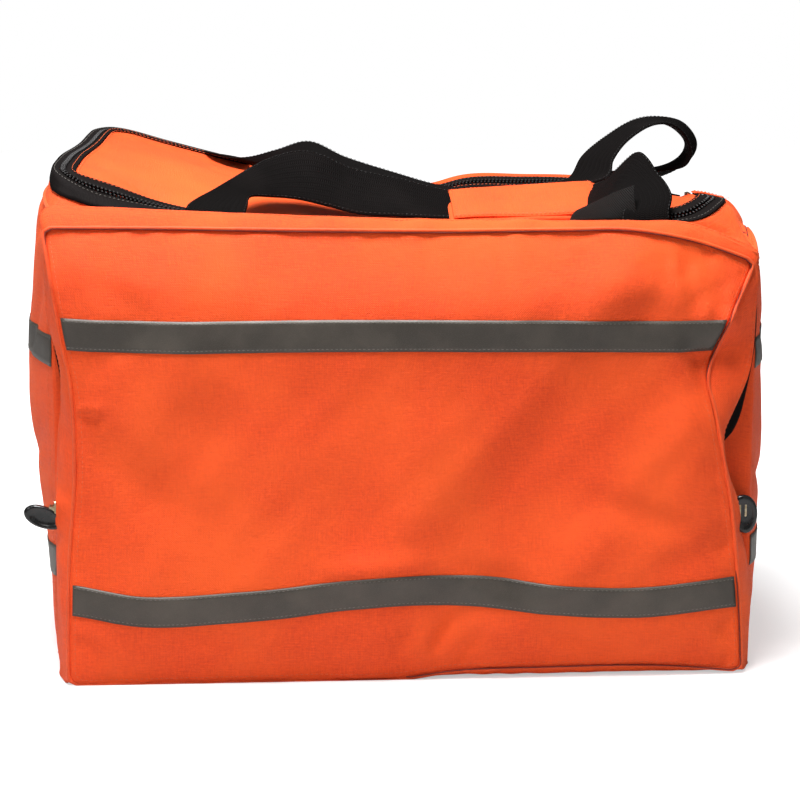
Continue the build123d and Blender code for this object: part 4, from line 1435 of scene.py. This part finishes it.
def build_body_zip():
    rows = [run_level(inset, rise) for inset, rise in ((0.0, 1.5), (2.5, 1.2), (5.5, 1.0), (8.0, 0.6))]
    # the first rows are the black sheet of painted shade over the front-left border
    tape = np.stack(shade_tape_rows() + rows, 1)
    ob = sheet("body_zip_tape_cloth", tape, BELOW_LID, ("zip_tape",), 1.0, 0, place="bag")
    stands_for(ob, "zip_tape", "body_zip_tape")
    heap = Heap()
    towards_lid = unit(run_level(12.0) - run_level(8.0))
    teeth_row(heap, tape[:, -1], towards_lid, np.tile(UP, (len(tape), 1)), TOOTH_WIDE, TOOTH_THICK)
    stands_for(heap.make("body_zip_chain", ("teeth",), "bag"), "zip_teeth", "body_zip_teeth")


def build_lid_zip(k):
    rows = [run_level(inset, rise)[k] for inset, rise in ((14.6, 0.6), (17.0, 1.0), (20.0, 1.2), (23.4, 1.4))]
    tape = np.stack(rows, 1)
    ob = hinge_blend(sheet("lid_zip_tape_cloth", tape, BELOW_LID, ("zip_tape",), 1.0, 0))
    stands_for(ob, "zip_tape", "lid_zip_tape")
    heap = Heap()
    towards_rim = unit(run_level(10.0)[k] - run_level(14.6)[k])
    teeth_row(heap, tape[:, 0], towards_rim, np.tile(UP, (len(k), 1)), TOOTH_WIDE, TOOTH_THICK, odd=True)
    stands_for(hinge_blend(heap.make("lid_zip_chain", ("teeth",))), "zip_teeth", "lid_zip_teeth")


def build_lid_sewing(k):
    """Two rows on the lid's edge, one on the body's tape and two beside the hinge seam."""
    heap = Heap()
    for inset, rise in ((25.0, 0.6), (20.6, 1.9)):
        q = run_level(inset, rise)[k][4:-3]
        stitches(heap, q, np.tile(UP, (len(q), 1)), *ZIP_STITCH)
    hinge_blend(heap.make("lid_edge_sewing", ("thread",)))
    heap = Heap()
    q = run_level(2.0, 1.3)
    stitches(heap, q, np.tile(UP, (len(q), 1)), *ZIP_STITCH)
    heap.make("body_zip_sewing", ("pale_thread",), "bag")
    heap = Heap()
    y = np.linspace(RIGHT_STOP_Y + 4, 118, 60)
    for beside in (3.5, 9.0):
        x = np.full_like(y, HINGE_X + beside)
        line = np.column_stack([x, y, top_height(x, y) + 2.6])
        stitches(heap, line, np.tile(UP, (len(y), 1)), *HINGE_STITCH)
    heap.make("hinge_seam_sewing", ("thread",), "bag")


BELOW_LID = (0, 10, 200)


def hinge_blend(ob):
    """Bakes the lid piece's transform into its mesh."""
    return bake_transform(ob)


# ---- handles -------------------------------------------------------------------------------------
RIBBON_COLUMNS = 9


def ribbon(name, edge_a, edge_b, mat, thick, count, place, crown=0.0):
    """A strap between two edges in mm; crown is how far its middle arches out of the flat."""
    a, b = spline(edge_a, count), spline(edge_b, count)
    w = np.linspace(0, 1, RIBBON_COLUMNS)[None, :, None]
    P = lerp(a[:, None], b[:, None], w)
    if crown:
        P = P + normals_of(P) * (crown * np.sin(np.pi * w))
    ob = add_mesh(name, P.reshape(-1, 3), grid_faces(*P.shape[:2]), grid_uv(P), (mat,))
    thicken(ob, thick, 0)
    subdivide(ob)
    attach(ob, place)
    return ob, P


def edge_sewing(name, P, place):
    """A sewn line inside each edge of a ribbon, on the side that faces up or forwards."""
    offset, lift = 2.0, 1.3
    n = normals_of(P)
    face = np.sign((n * np.array([0.2, -0.5, 0.8])).sum())
    width = np.linalg.norm(P[:, 0] - P[:, -1], axis=1).mean()
    share = offset / width * (P.shape[1] - 1)
    heap = Heap()
    for edge, inner in ((0, 1), (-1, -2)):
        line = lerp(P[:, edge], P[:, inner], share) + n[:, edge] * face * lift
        stitches(heap, line, n[:, edge] * face, 3.8, 1.2, 0.26, 0.1)
    return heap.make(name, ("black_thread",), place)


# the two edges of each strap, from its left anchor over the lid to its right one
FRONT_OUTER = [(-177, -124, 366), (-175, -122, 374), (-171, -114, 381), (-152, -97, 390),
               (-124, -60, 404), (-107, -40, 411), (-84, -25, 416),
               (-64, -19, 412), (-40, -14, 400), (0, -10, 391), (37, -6, 381), (70, -4, 376),
               (110, -3, 377), (146, -3, 381),
               (166, -8, 384), (178, -20, 391), (183, -37, 401), (190, -50, 411), (196, -60, 416),
               (202, -70, 411), (208, -82, 400),
               (213, -96, 392), (215, -110, 383), (211, -121, 372), (211, -125, 362)]
FRONT_INNER = [(-127, -124, 364), (-127, -121, 371), (-125, -110, 377), (-122, -92, 383),
               (-104, -76, 381), (-83, -68, 378), (-57, -62, 371),
               (-34, -59, 365), (0, -57, 363), (40, -54, 361), (70, -53, 360), (110, -53, 361),
               (140, -54, 363),
               (152, -60, 366), (160, -68, 371), (167, -76, 378), (173, -87, 383), (177, -99, 381),
               (176, -113, 375), (172, -121, 370), (171, -125, 362)]
BACK_FAR = [(-177, 146, 398), (-168, 124, 405), (-150, 96, 404), (-126, 76, 403), (-100, 60, 410),
            (-72, 46, 418), (-42, 42, 405),
            (0, 48, 391), (40, 56, 379), (75, 62, 375), (110, 62, 378), (134, 56, 380), (152, 44, 386),
            (166, 66, 403),
            (192, 98, 418), (219, 118, 431), (242, 128, 434), (266, 133, 430), (281, 136, 414),
            (280, 139, 399), (267, 146, 386),
            (250, 151, 378), (236, 151, 376), (221, 147, 371)]
BACK_NEAR = [(-127, 146, 388), (-124, 120, 396), (-118, 84, 396), (-100, 40, 396), (-82, 12, 407),
             (-62, -2, 408), (-40, 0, 398),
             (0, 4, 387), (40, 12, 377), (75, 14, 373), (110, 14, 376), (145, 12, 381), (181, 12, 388),
             (190, 34, 402),
             (205, 58, 416), (227, 76, 428), (246, 86, 430), (261, 94, 422), (269, 98, 408),
             (269, 100, 397), (262, 104, 389),
             (240, 114, 386), (205, 130, 385), (180, 142, 378), (171, 147, 372)]
# where the strap turns under itself beside the grip
TURN_LOW = [(137, -74, 360), (152, -96, 363), (166, -114, 365), (185, -122, 366)]
TURN_HIGH = [(146, -70, 369), (161, -86, 379), (174, -104, 388), (184, -112, 393)]
GRIP_X0, GRIP_X1 = 40.0, 168.0
GRIP_MIDDLE = (104, -26, 370)


def clear_lid(ob):
    """Handles lie over the lid; each piece here gets its own copy of its mesh."""
    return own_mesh(ob)


def along_grip(x):
    """Share of the way along the grip, and of the way in from its nearer end."""
    w = (x - GRIP_X0) / (GRIP_X1 - GRIP_X0)
    return w, min(w, 1 - w)


def grip_section(x, swell, points):
    """Closed flattened ring round the strap at one place along the grip."""
    w, _ = along_grip(x)
    near = np.array([x, -64 + 1.5 * math.sin(5 * w), 358.0 + 3.0 * w])
    far = np.array([x, 3 + 3 * w, 377 + 7.5 * w])
    mid, half = (near + far) / 2, (far - near) / 2
    reach = np.linalg.norm(half)
    ax = half / reach
    up = np.cross([1.0, 0, 0], ax)
    rows = []
    for k in range(points):
        t = 2 * math.pi * k / points
        c, s = math.cos(t), math.sin(t)
        rows.append(mid + ax * reach * np.sign(c) * abs(c) ** 0.8 + up * swell * np.sign(s) * abs(s) ** 0.75)
    return np.array(rows), mid, ax, up, reach


def build_handles():
    straps = (("front", FRONT_OUTER, FRONT_INNER, 150, FRONT_Y + 3),
              ("back", BACK_FAR, BACK_NEAR, 170, BACK_Y - 3))
    for word, outer, inner, count, rest_y in straps:
        body = f"{word}_handle"
        ob, P = ribbon(f"{word}_handle_webbing", outer, inner, "webbing", 2.3, count, body)
        clear_lid(stands_for(ob, "black_webbing", f"{word}_handle_strap"))
        clear_lid(edge_sewing(f"{word}_handle_sewing", P, body))
    ob, _ = ribbon("front_handle_turned_fold", TURN_LOW, TURN_HIGH, "webbing_face", 2.0, 30,
                   "front_handle", crown=2.0)
    clear_lid(stands_for(ob, "black_webbing"))
    for ob in (build_sleeve(), *build_flap(), build_flap_sewing(), build_sleeve_sewing()):
        clear_lid(ob)
    build_anchors()


def build_sleeve():
    """Padded sleeve round the front strap."""
    rings = []
    for x in np.linspace(GRIP_X0, GRIP_X1, 44):
        w, end = along_grip(x)
        swell = 3.2 + 2.6 * step(0.0, 0.2, end) + 0.5 * math.sin(11 * w + 1) * step(0, 0.2, end)
        rings.append(grip_section(x, swell, 40)[0])
    R = np.stack(rings, 0)
    R = np.concatenate([R, R[:, :1]], 1)
    ob = sheet("grip_sleeve_cloth", R, GRIP_MIDDLE, ("cloth", "lining"), 1.6, 1, place="front_handle")
    return stands_for(ob, "orange_cloth", "grip_sleeve")


def build_flap():
    """Flap that closes round the sleeve, with its hook strip beneath."""
    flap, strip = [], []
    for x in np.linspace(GRIP_X0 + 3, GRIP_X1 - 3, 40):
        w, end = along_grip(x)
        _, mid, ax, up, reach = grip_section(x, 6.0, 4)
        lift = 5.9 + 2.4 * step(0, 0.15, end) * 0.4
        row = []
        for c in np.linspace(1.0, -0.93, 18):
            curl = math.sqrt(max(0.0, 1 - min(1, abs(c)) ** 2.6))
            row.append(mid + ax * reach * 1.02 * c
                       + up * (lift * curl + 1.1 + 0.5 * math.sin(9 * w) * (c < 0)))
        flap.append(row)
        if GRIP_X0 + 8 < x < GRIP_X1 - 8:
            strip.append([mid + ax * reach * c + up * (lift * math.sqrt(1 - abs(c) ** 2.6) - 0.6)
                          for c in np.linspace(0.3, -0.34, 5)])
    cover = sheet("grip_flap_cloth", np.array(flap), (104, -26, 340), ("cloth", "lining"), 1.4, 1,
                  place="grip_wrap")
    hooks = sheet("grip_hook_strip_pile", np.array(strip), (104, -26, 500), ("hooks",), 1.0, 0,
                  place="grip_wrap")
    return (stands_for(cover, "orange_cloth", "grip_flap"),
            stands_for(hooks, "hook_strip", "grip_hook_strip"))


def build_flap_sewing():
    """Stitches along the flap's free edge and across its two ends."""
    heap = Heap()
    edge = []
    for x in np.linspace(GRIP_X0 + 3, GRIP_X1 - 3, 40):
        w, end = along_grip(x)
        _, mid, ax, up, reach = grip_section(x, 6.0, 4)
        lift = 5.9 + 2.4 * step(0, 0.15, end) * 0.4
        last = []
        for c in np.linspace(1.0, -0.93, 18)[-1:-3:-1]:
            curl = math.sqrt(max(0.0, 1 - min(1, abs(c)) ** 2.6))
            last.append(mid + ax * reach * 1.02 * c + up * (lift * curl + 1.1 + 0.5 * math.sin(9 * w)))
        edge.append(lerp(last[0], last[1], 0.5) + up * 0.9)
    stitches(heap, np.array(edge), np.tile([0, -0.3, 0.95], (len(edge), 1)), 3.6, 1.1, 0.3, 0.2)
    for x in (GRIP_X0 + 6, GRIP_X1 - 6):
        _, mid, ax, up, reach = grip_section(x, 6.0, 4)
        c = np.linspace(0.92, -0.88, 22)
        curl = np.sqrt(np.maximum(0, 1 - np.abs(c) ** 2.6))
        path = mid + ax * reach * c[:, None] + up * (6.1 * curl + 1.6)[:, None]
        stitches(heap, path, np.tile(up, (len(path), 1)), *GRIP_STITCH)
    return heap.make("grip_flap_sewing", ("thread",), "grip_wrap")


def build_sleeve_sewing():
    """Stitches round each end of the sleeve."""
    heap = Heap()
    for x in (GRIP_X0 + 3.5, GRIP_X1 - 3.5):
        ring, mid, *_ = grip_section(x, 4.3, 40)
        ring = ring[18:40]
        stitches(heap, ring, unit(ring - mid), *GRIP_STITCH)
    return heap.make("grip_end_sewing", ("thread",), "front_handle")


GRIP_STITCH = (3.4, 1.1, 0.3, 0.15)
ANCHOR_HALF = 25.0
ANCHOR_X = (("left", -152.0), ("right", 196.0))
BOX_ROUTE = [(-21, -6), (21, -6), (21, -22), (-21, -22), (-21, -6), (21, -22)]


def anchor_edge(x, y, side, top, drop):
    """Edge of a webbing end: over the top of the wall, then down its face."""
    return [(x, y - side * 2.5, top), (x, y + side * 0.5, top - 3), (x, y + side * 1.4, top - drop)]


def build_anchors():
    """Webbing ends sewn to the wall tops; those at the back are boxed with stitching."""
    heap = Heap()
    for word, x in ANCHOR_X:
        edges = [anchor_edge(x + d, FRONT_Y + 4.0, -1, float(wall_front_top(x)) + 0.5, 9.0)
                 for d in (-ANCHOR_HALF, ANCHOR_HALF)]
        ob, _ = ribbon(f"front_anchor_{word}", *edges, "webbing", 2.0, 12, "bag")
        stands_for(ob, "black_webbing", "front_handle_anchors")
    for word, x in ANCHOR_X:
        top = float(curve(x, WALL_TOP_BACK)) + 2
        edges = [anchor_edge(x + d, BACK_Y + 6.5, 1, top, 26.0) for d in (-ANCHOR_HALF, ANCHOR_HALF)]
        ob, _ = ribbon(f"back_anchor_{word}", *edges, "webbing", 2.0, 12, "bag")
        stands_for(ob, "black_webbing", "back_handle_anchors")
        corners = np.array([(x + across, BACK_Y + 9.4, top + down) for across, down in BOX_ROUTE])
        for a, b in zip(corners, corners[1:]):
            line = lerp(a, b, np.linspace(0, 1, 8)[:, None])
            stitches(heap, line, np.tile([0, 1.0, 0], (8, 1)), 3.4, 1.1, 0.32, 0.3)
    heap.make("anchor_box_sewing", ("black_thread",), "bag")


# ---- reflective tapes ----------------------------------------------------------------------------
FRONT_UPPER = [(-283, 284), (-266, 283), (-47, 281), (119, 279), (191, 277), (245, 276), (270, 276)]
FRONT_LOWER = [(-283, 71), (-269, 70), (-213, 62), (-124, 66), (-8, 76), (53, 74), (116, 66), (179, 63),
               (263, 68), (280, 68)]
SIDE_UPPER = {-1: [(-130, 265), (-60, 268), (10, 267), (150, 266)],
              1: [(-130, 258), (-60, 262), (10, 265), (150, 266)]}
SIDE_LOWER = {-1: [(-130, 95), (-60, 90), (10, 88), (150, 88)],
              1: [(-130, 95), (-60, 90), (10, 88), (150, 88)]}


TAPE_HALF = 12.5


def across_front(table):
    """Places before the pocket face, from the left seam to the right one at the tape's height."""
    def at(s, o):
        a = curve(curve(-270, table) + o, FRONT_LEFT) + 2.2
        b = curve(curve(255, table) + o, FRONT_RIGHT) - 2.2
        x = lerp(float(a), float(b), s)
        return np.column_stack([x, 0 * s + FACE_Y - BEFORE_FACE, curve(x, table) + o])
    return at


def across_end(side, table):
    """Places beside an end, from front to back."""
    def at(s, o):
        y = lerp(FRONT_Y + 2.5, BACK_Y - 2.5, s)
        return np.column_stack([0 * s + side * 420, y, curve(y, table) + o])
    return at


def across_back(z):
    """Places behind the bag, from right to left."""
    def at(s, o):
        return np.column_stack([lerp(HALF - 4, -HALF + 4, s), 0 * s + BACK_Y + 90,
                                z + o + 1.5 * np.sin(7 * s)])
    return at


def build_tapes(front, ends, back):
    skin = Skin([front])
    for level, table, ride in (("upper", FRONT_UPPER, "pocket_cover"), ("lower", FRONT_LOWER, "bag")):
        ob = laid_strip(f"front_tape_{level}_band", skin, across_front(table), 150, TAPE_HALF, (0, 1, 0),
                        ride)
        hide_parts(f"front_tape_{level}")
    for s, word in ((-1, "left"), (1, "right")):
        skin = Skin([ends[s]])
        for level, table in (("upper", SIDE_UPPER[s]), ("lower", SIDE_LOWER[s])):
            ob = laid_strip(f"{word}_tape_{level}_band", skin, across_end(s, table), 70, TAPE_HALF,
                            (-s, 0, 0), "bag")
            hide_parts(f"{word}_tape_{level}")
    skin = Skin([back])
    for level, z in (("upper", 266.0), ("lower", 88.0)):
        ob = laid_strip(f"back_tape_{level}_band", skin, across_back(z), 120, TAPE_HALF, (0, -1, 0), "bag")
        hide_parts(f"back_tape_{level}")


# ---- hardware and contents -----------------------------------------------------------------------
DROOP_X = 0.277  # metres; the hanging part of the lid pull starts here
CORNER_ANGLE = math.radians(40)


def copy_node(node, name, mat, body, bevel=0.25, shift=(0, 0, 0), droop=0.0):
    """A finer twin of a hard CAD part: the same shape with softened edges, moved by shift in mm."""
    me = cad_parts[node].data.copy()
    for v in me.vertices:
        v.co += Vector(shift) * MM
        v.co.z -= droop * max(0.0, v.co.x - DROOP_X)
    me.materials.clear()
    me.materials.append(MAT[mat])
    ob = link(name, me)
    weld(ob)
    b = ob.modifiers.new("edges", "BEVEL")
    b.width = bevel * MM
    b.segments = 2
    b.limit_method = "ANGLE"
    b.angle_limit = CORNER_ANGLE
    b.harden_normals = True
    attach(ob, body)
    return stands_for(ob, HARD_SLOT[mat], node)


HARD_SLOT = {"metal": "slider_metal", "moulding": "black_moulding", "board": "stiffener"}
# an oval pull from its middle to its rim: share of its half size, and half thickness in mm
PULL_PROFILE = [(0.0, 1.1), (0.45, 1.1), (0.58, 1.5), (0.68, 2.5), (0.82, 2.9), (0.94, 2.2), (1.0, 0.0)]


def pull_loop(name, node, body, place, size, tilt):
    """Moulded oval pull: a fat rim round a thin web, broad side to the front, slimmer at its right end."""
    a, tall = size
    cx, cy, cz = place
    ct, st = math.cos(tilt), math.sin(tilt)
    sides = 40
    points, faces = [], []
    outline = PULL_PROFILE + [(r, -h) for r, h in PULL_PROFILE[-2::-1]]
    for r, h in outline:
        for k in range(sides):
            t = 2 * math.pi * k / sides
            slim = 1 - 0.22 * (0.5 + 0.5 * math.cos(t))
            dx, dz = a * r * math.cos(t), tall * slim * r * math.sin(t)
            points.append((cx + dx * ct - dz * st, cy + h, cz + dx * st + dz * ct))
    for i in range(len(outline) - 1):
        for k in range(sides):
            q = (k + 1) % sides
            faces.append([i * sides + k, i * sides + q, (i + 1) * sides + q, (i + 1) * sides + k])
    ob = add_mesh(name, points, faces, [(p[0] * MM, p[2] * MM) for p in points], ("moulding",))
    weld(ob)
    subdivide(ob)
    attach(ob, body)
    return stands_for(ob, "black_moulding", node)


def follow_lid_run(ob):
    """Own mesh for a piece. The slide is straight but the slumped run climbs to the left; the rise is not
    used.
    """
    rise = float(top_height(-217.5, 128.7)) - float(top_height(272.0, 128.7)) + 2
    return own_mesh(ob)


def build_hardware():
    sides = (("left", (0, 0, 0), (0, 0, 0), (-289.0, -3.0, 133.5), (17.5, 10.0), -0.38),
             ("right", (-6.0, 1.5, -9.0), (-14.0, 14.0, -11.0), (273.0, -2.5, 128.0), (16.5, 13.0), -1.42))
    lo, hi = box_mm("pocket_pull_grip_left")
    pull_y = (lo[1] + hi[1]) / 2
    for word, shift, tuck, (x, y, z), size, tilt in sides:
        copy_node(f"pocket_slider_{word}", f"slider_body_{word}", "metal", f"pocket_slider_{word}",
                  shift=shift)
        body = f"pocket_pull_{word}"
        copy_node(f"pocket_pull_tab_{word}", f"pull_tab_{word}", "metal", body, shift=tuck)
        pull_loop(f"pull_grip_{word}", f"pocket_pull_grip_{word}", body, (x, pull_y + y, z), size, tilt)
    lo, hi = box_mm("lid_slider")
    drop = (0, 0, float(top_height(272.0, 128.7)) + 1.0 - (lo[2] + hi[2]) / 2)
    follow_lid_run(copy_node("lid_slider", "lid_slider_body", "metal", "lid_slider", 0.25, drop))
    follow_lid_run(copy_node("lid_pull_tab", "lid_pull_tab_plate", "metal", "lid_pull", 0.25, drop, 0.5))
    follow_lid_run(copy_node("lid_pull_grip", "lid_pull_grip_loop", "moulding", "lid_pull", 0.9, drop, 0.5))
    build_end_patch("front", (240.5, 266.5), (-66.0, -54.0))
    build_end_patch("back", (270.0, 281.5), (116.0, 141.5))


def build_end_patch(word, across, deep):
    """Small patch of cloth sewn over an end of the lid zip."""
    n, m = 14, 12
    x = np.linspace(*across, n)[:, None] * np.ones((1, m))
    y = np.linspace(*deep, m)[None] * np.ones((n, 1))
    P = np.stack([x, y, top_height(x, y) + 2.7], 2)
    ob = sheet(f"zip_end_patch_{word}", P, (0, 0, 200), ("cloth",), 1.6, 1, place="bag")
    stands_for(ob, "orange_cloth", "zip_end_patches")
    heap = Heap()
    ring = np.vstack([P[1:-1, 1], P[-2, 1:-1], P[-2:0:-1, -2], P[1, -2:0:-1]]) + np.array([0, 0, 0.3])
    stitches(heap, ring, np.tile(UP, (len(ring), 1)), *PATCH_STITCH)
    heap.make(f"zip_end_patch_{word}_sewing", ("thread",), "bag")


ROPE = 9.5
ROPE_LAYER = ROPE * 0.92
TURNS = 6
COIL_BAND = 66.0


def coil_turn(middle, size, inset, z):
    """One rounded-rectangle turn of the coil, with a little wander up and down."""
    ex, ey = size[0] / 2 - inset, size[1] / 2 - inset
    r = min(ey, 100 - inset * 0.4)
    a = np.linspace(0, 2 * np.pi, 72, endpoint=False)
    c, s = np.cos(a), np.sin(a)
    x = middle[0] + np.sign(c) * (ex - r) * np.minimum(1, np.abs(c) * 2.2) + r * c
    y = middle[1] + np.sign(s) * (ey - r) * np.minimum(1, np.abs(s) * 2.2) + r * s
    wander = rng.uniform(-1, 1, 3)
    return np.column_stack([x, y, z + 0.9 * np.sin(a * 3 + wander[0] * 3) + 0.4 * wander[1]])


def build_line():
    """The throw line, laid down in layers from the outside in and back out."""
    lo, hi = box_mm("throw_line")
    middle, size = (lo + hi) / 2, hi - lo
    path = []
    for layer in range(int(size[2] // ROPE_LAYER)):
        turns = range(TURNS) if layer % 2 == 0 else range(TURNS - 1, -1, -1)
        for turn in turns:
            inset = ROPE / 2 + 1 + turn * (COIL_BAND - ROPE - 2) / (TURNS - 1)
            path.append(coil_turn(middle, size, inset, lo[2] + ROPE / 2 + layer * ROPE_LAYER))
    path = np.vstack(path)
    path[:, 2] = np.clip(path[:, 2], lo[2] + ROPE / 2, hi[2] - ROPE / 2)
    for _ in range(2):
        path[1:-1] = (path[:-2] + 2 * path[1:-1] + path[2:]) / 4
    ob = tube("throw_line_coil", path, ROPE / 2, ("rope",), 8, place="bag")
    stands_for(ob, "line_rope", "throw_line")
    return middle, size


def build_tie(word, x, side, middle, size):
    """Soft webbing band round one long side of the coil."""
    outer = size[1] / 2 + 2
    inner = outer - 70
    tall = size[2] / 2 + 1.6
    ring = []
    for a in np.linspace(0, 2 * np.pi, 48):
        c, q = math.cos(a), math.sin(a)
        y = middle[1] + side * ((outer + inner) / 2 + (outer - inner) / 2 * np.sign(c) * abs(c) ** 0.45)
        ring.append((y, middle[2] + tall * np.sign(q) * abs(q) ** 0.45))
    ring = np.array(ring)
    rows = [np.column_stack([np.full(len(ring), x + d), ring]) for d in np.linspace(-12.5, 12.5, 6)]
    within = (x, middle[1] + side * (outer + inner) / 2, middle[2])
    ob = sheet(f"line_tie_{word}", np.stack(rows, 1), within, ("webbing",), 1.6, 1, place="bag")
    stands_for(ob, "black_webbing", "line_ties")


def build_contents():
    middle, size = build_line()
    for x, end in ((-70, "left"), (70, "right")):
        for side, word in ((-1, "front"), (1, "back")):
            build_tie(f"{end}_{word}", x, side, middle, size)
    copy_node("base_board", "base_board_sheet", "board", "bag", 0.8)


# ---- camera, floor and light ---------------------------------------------------------------------
LIGHTS = (  # name, place, size, power, aim
    ("key", (-1.9, -1.8, 1.6), 0.8, 14.0, (0, 0, 0.2)),
    ("fill", (1.9, -1.8, 1.0), 1.8, 3.0, (0, 0, 0.2)),
    ("top", (-0.25, -0.40, 2.1), 0.9, 86.0, (0, 0, 0.3)),
)
ROOM_LIGHT = 0.19


def build_floor():
    """Pale paper; seen directly it fades to white far away."""
    me = bpy.data.meshes.new("floor")
    r = 6.0
    me.from_pydata([(-r, -r, 0), (r, -r, 0), (r, r, 0), (-r, r, 0)], [], [(0, 1, 2, 3)])
    floor = link("floor", me)
    floor.location = (0, 0, -0.0006)
    g = Graph("floor_paper")
    here = g.here()
    tone = g.noise(here, 3.0, 2.0)
    far = g.node("ShaderNodeVectorMath", {"operation": "LENGTH"})
    g.put(far.inputs[0], here)
    seen = g.t.nodes.new("ShaderNodeLightPath").outputs["Is Camera Ray"]
    glow = g.math("MULTIPLY", g.ramp(far.outputs["Value"], -0.7, 1.2), seen)
    g.finish(g.mix(tone, rgb(0.54, 0.54, 0.54), rgb(0.57, 0.57, 0.57)), 0.9, None, rgb(0.94, 0.94, 0.94),
             Emission_Color=rgb(1, 1, 1), Emission_Strength=glow)
    me.materials.append(g.m)


def build_world():
    """White to the camera, and a dim even light on the bag."""
    world = bpy.data.worlds.new("studio")
    world.use_nodes = True
    tree = world.node_tree
    back = tree.nodes["Background"]
    back.inputs[0].default_value = (1.0, 1.0, 1.0, 1.0)
    path = tree.nodes.new("ShaderNodeLightPath")
    level = tree.nodes.new("ShaderNodeMapRange")
    level.inputs["To Min"].default_value = ROOM_LIGHT
    level.inputs["To Max"].default_value = 1.0
    tree.links.new(path.outputs["Is Camera Ray"], level.inputs["Value"])
    tree.links.new(level.outputs[0], back.inputs[1])
    bpy.context.scene.world = world


def build_lights():
    for name, place, size, power, aim in LIGHTS:
        data = bpy.data.lights.new(name, "AREA")
        data.shape = "DISK"
        data.size = size
        data.energy = power
        ob = link(name, data)
        ob.location = place
        ob.rotation_mode = "QUATERNION"
        ob.rotation_quaternion = (Vector(aim) - Vector(place)).to_track_quat("-Z", "Y")


def build_camera():
    cam = bpy.data.cameras.new("camera")
    cam.lens = 104.3
    cam.sensor_width = 36.0
    ob = link("camera", cam)
    ob.location = (-0.124, -1.9515, 0.5460)
    ob.rotation_euler = (math.pi / 2 - 0.175, 0, -0.065)
    scene = bpy.context.scene
    scene.camera = ob
    scene.view_settings.view_transform = "Standard"
    scene.view_settings.look = "None"


front_grid = build_pocket()
end_grids, back_grid = build_body()
build_lid()
build_handles()
build_tapes(front_grid, end_grids, back_grid)
build_hardware()
build_contents()
build_floor()
build_world()
build_lights()
build_camera()
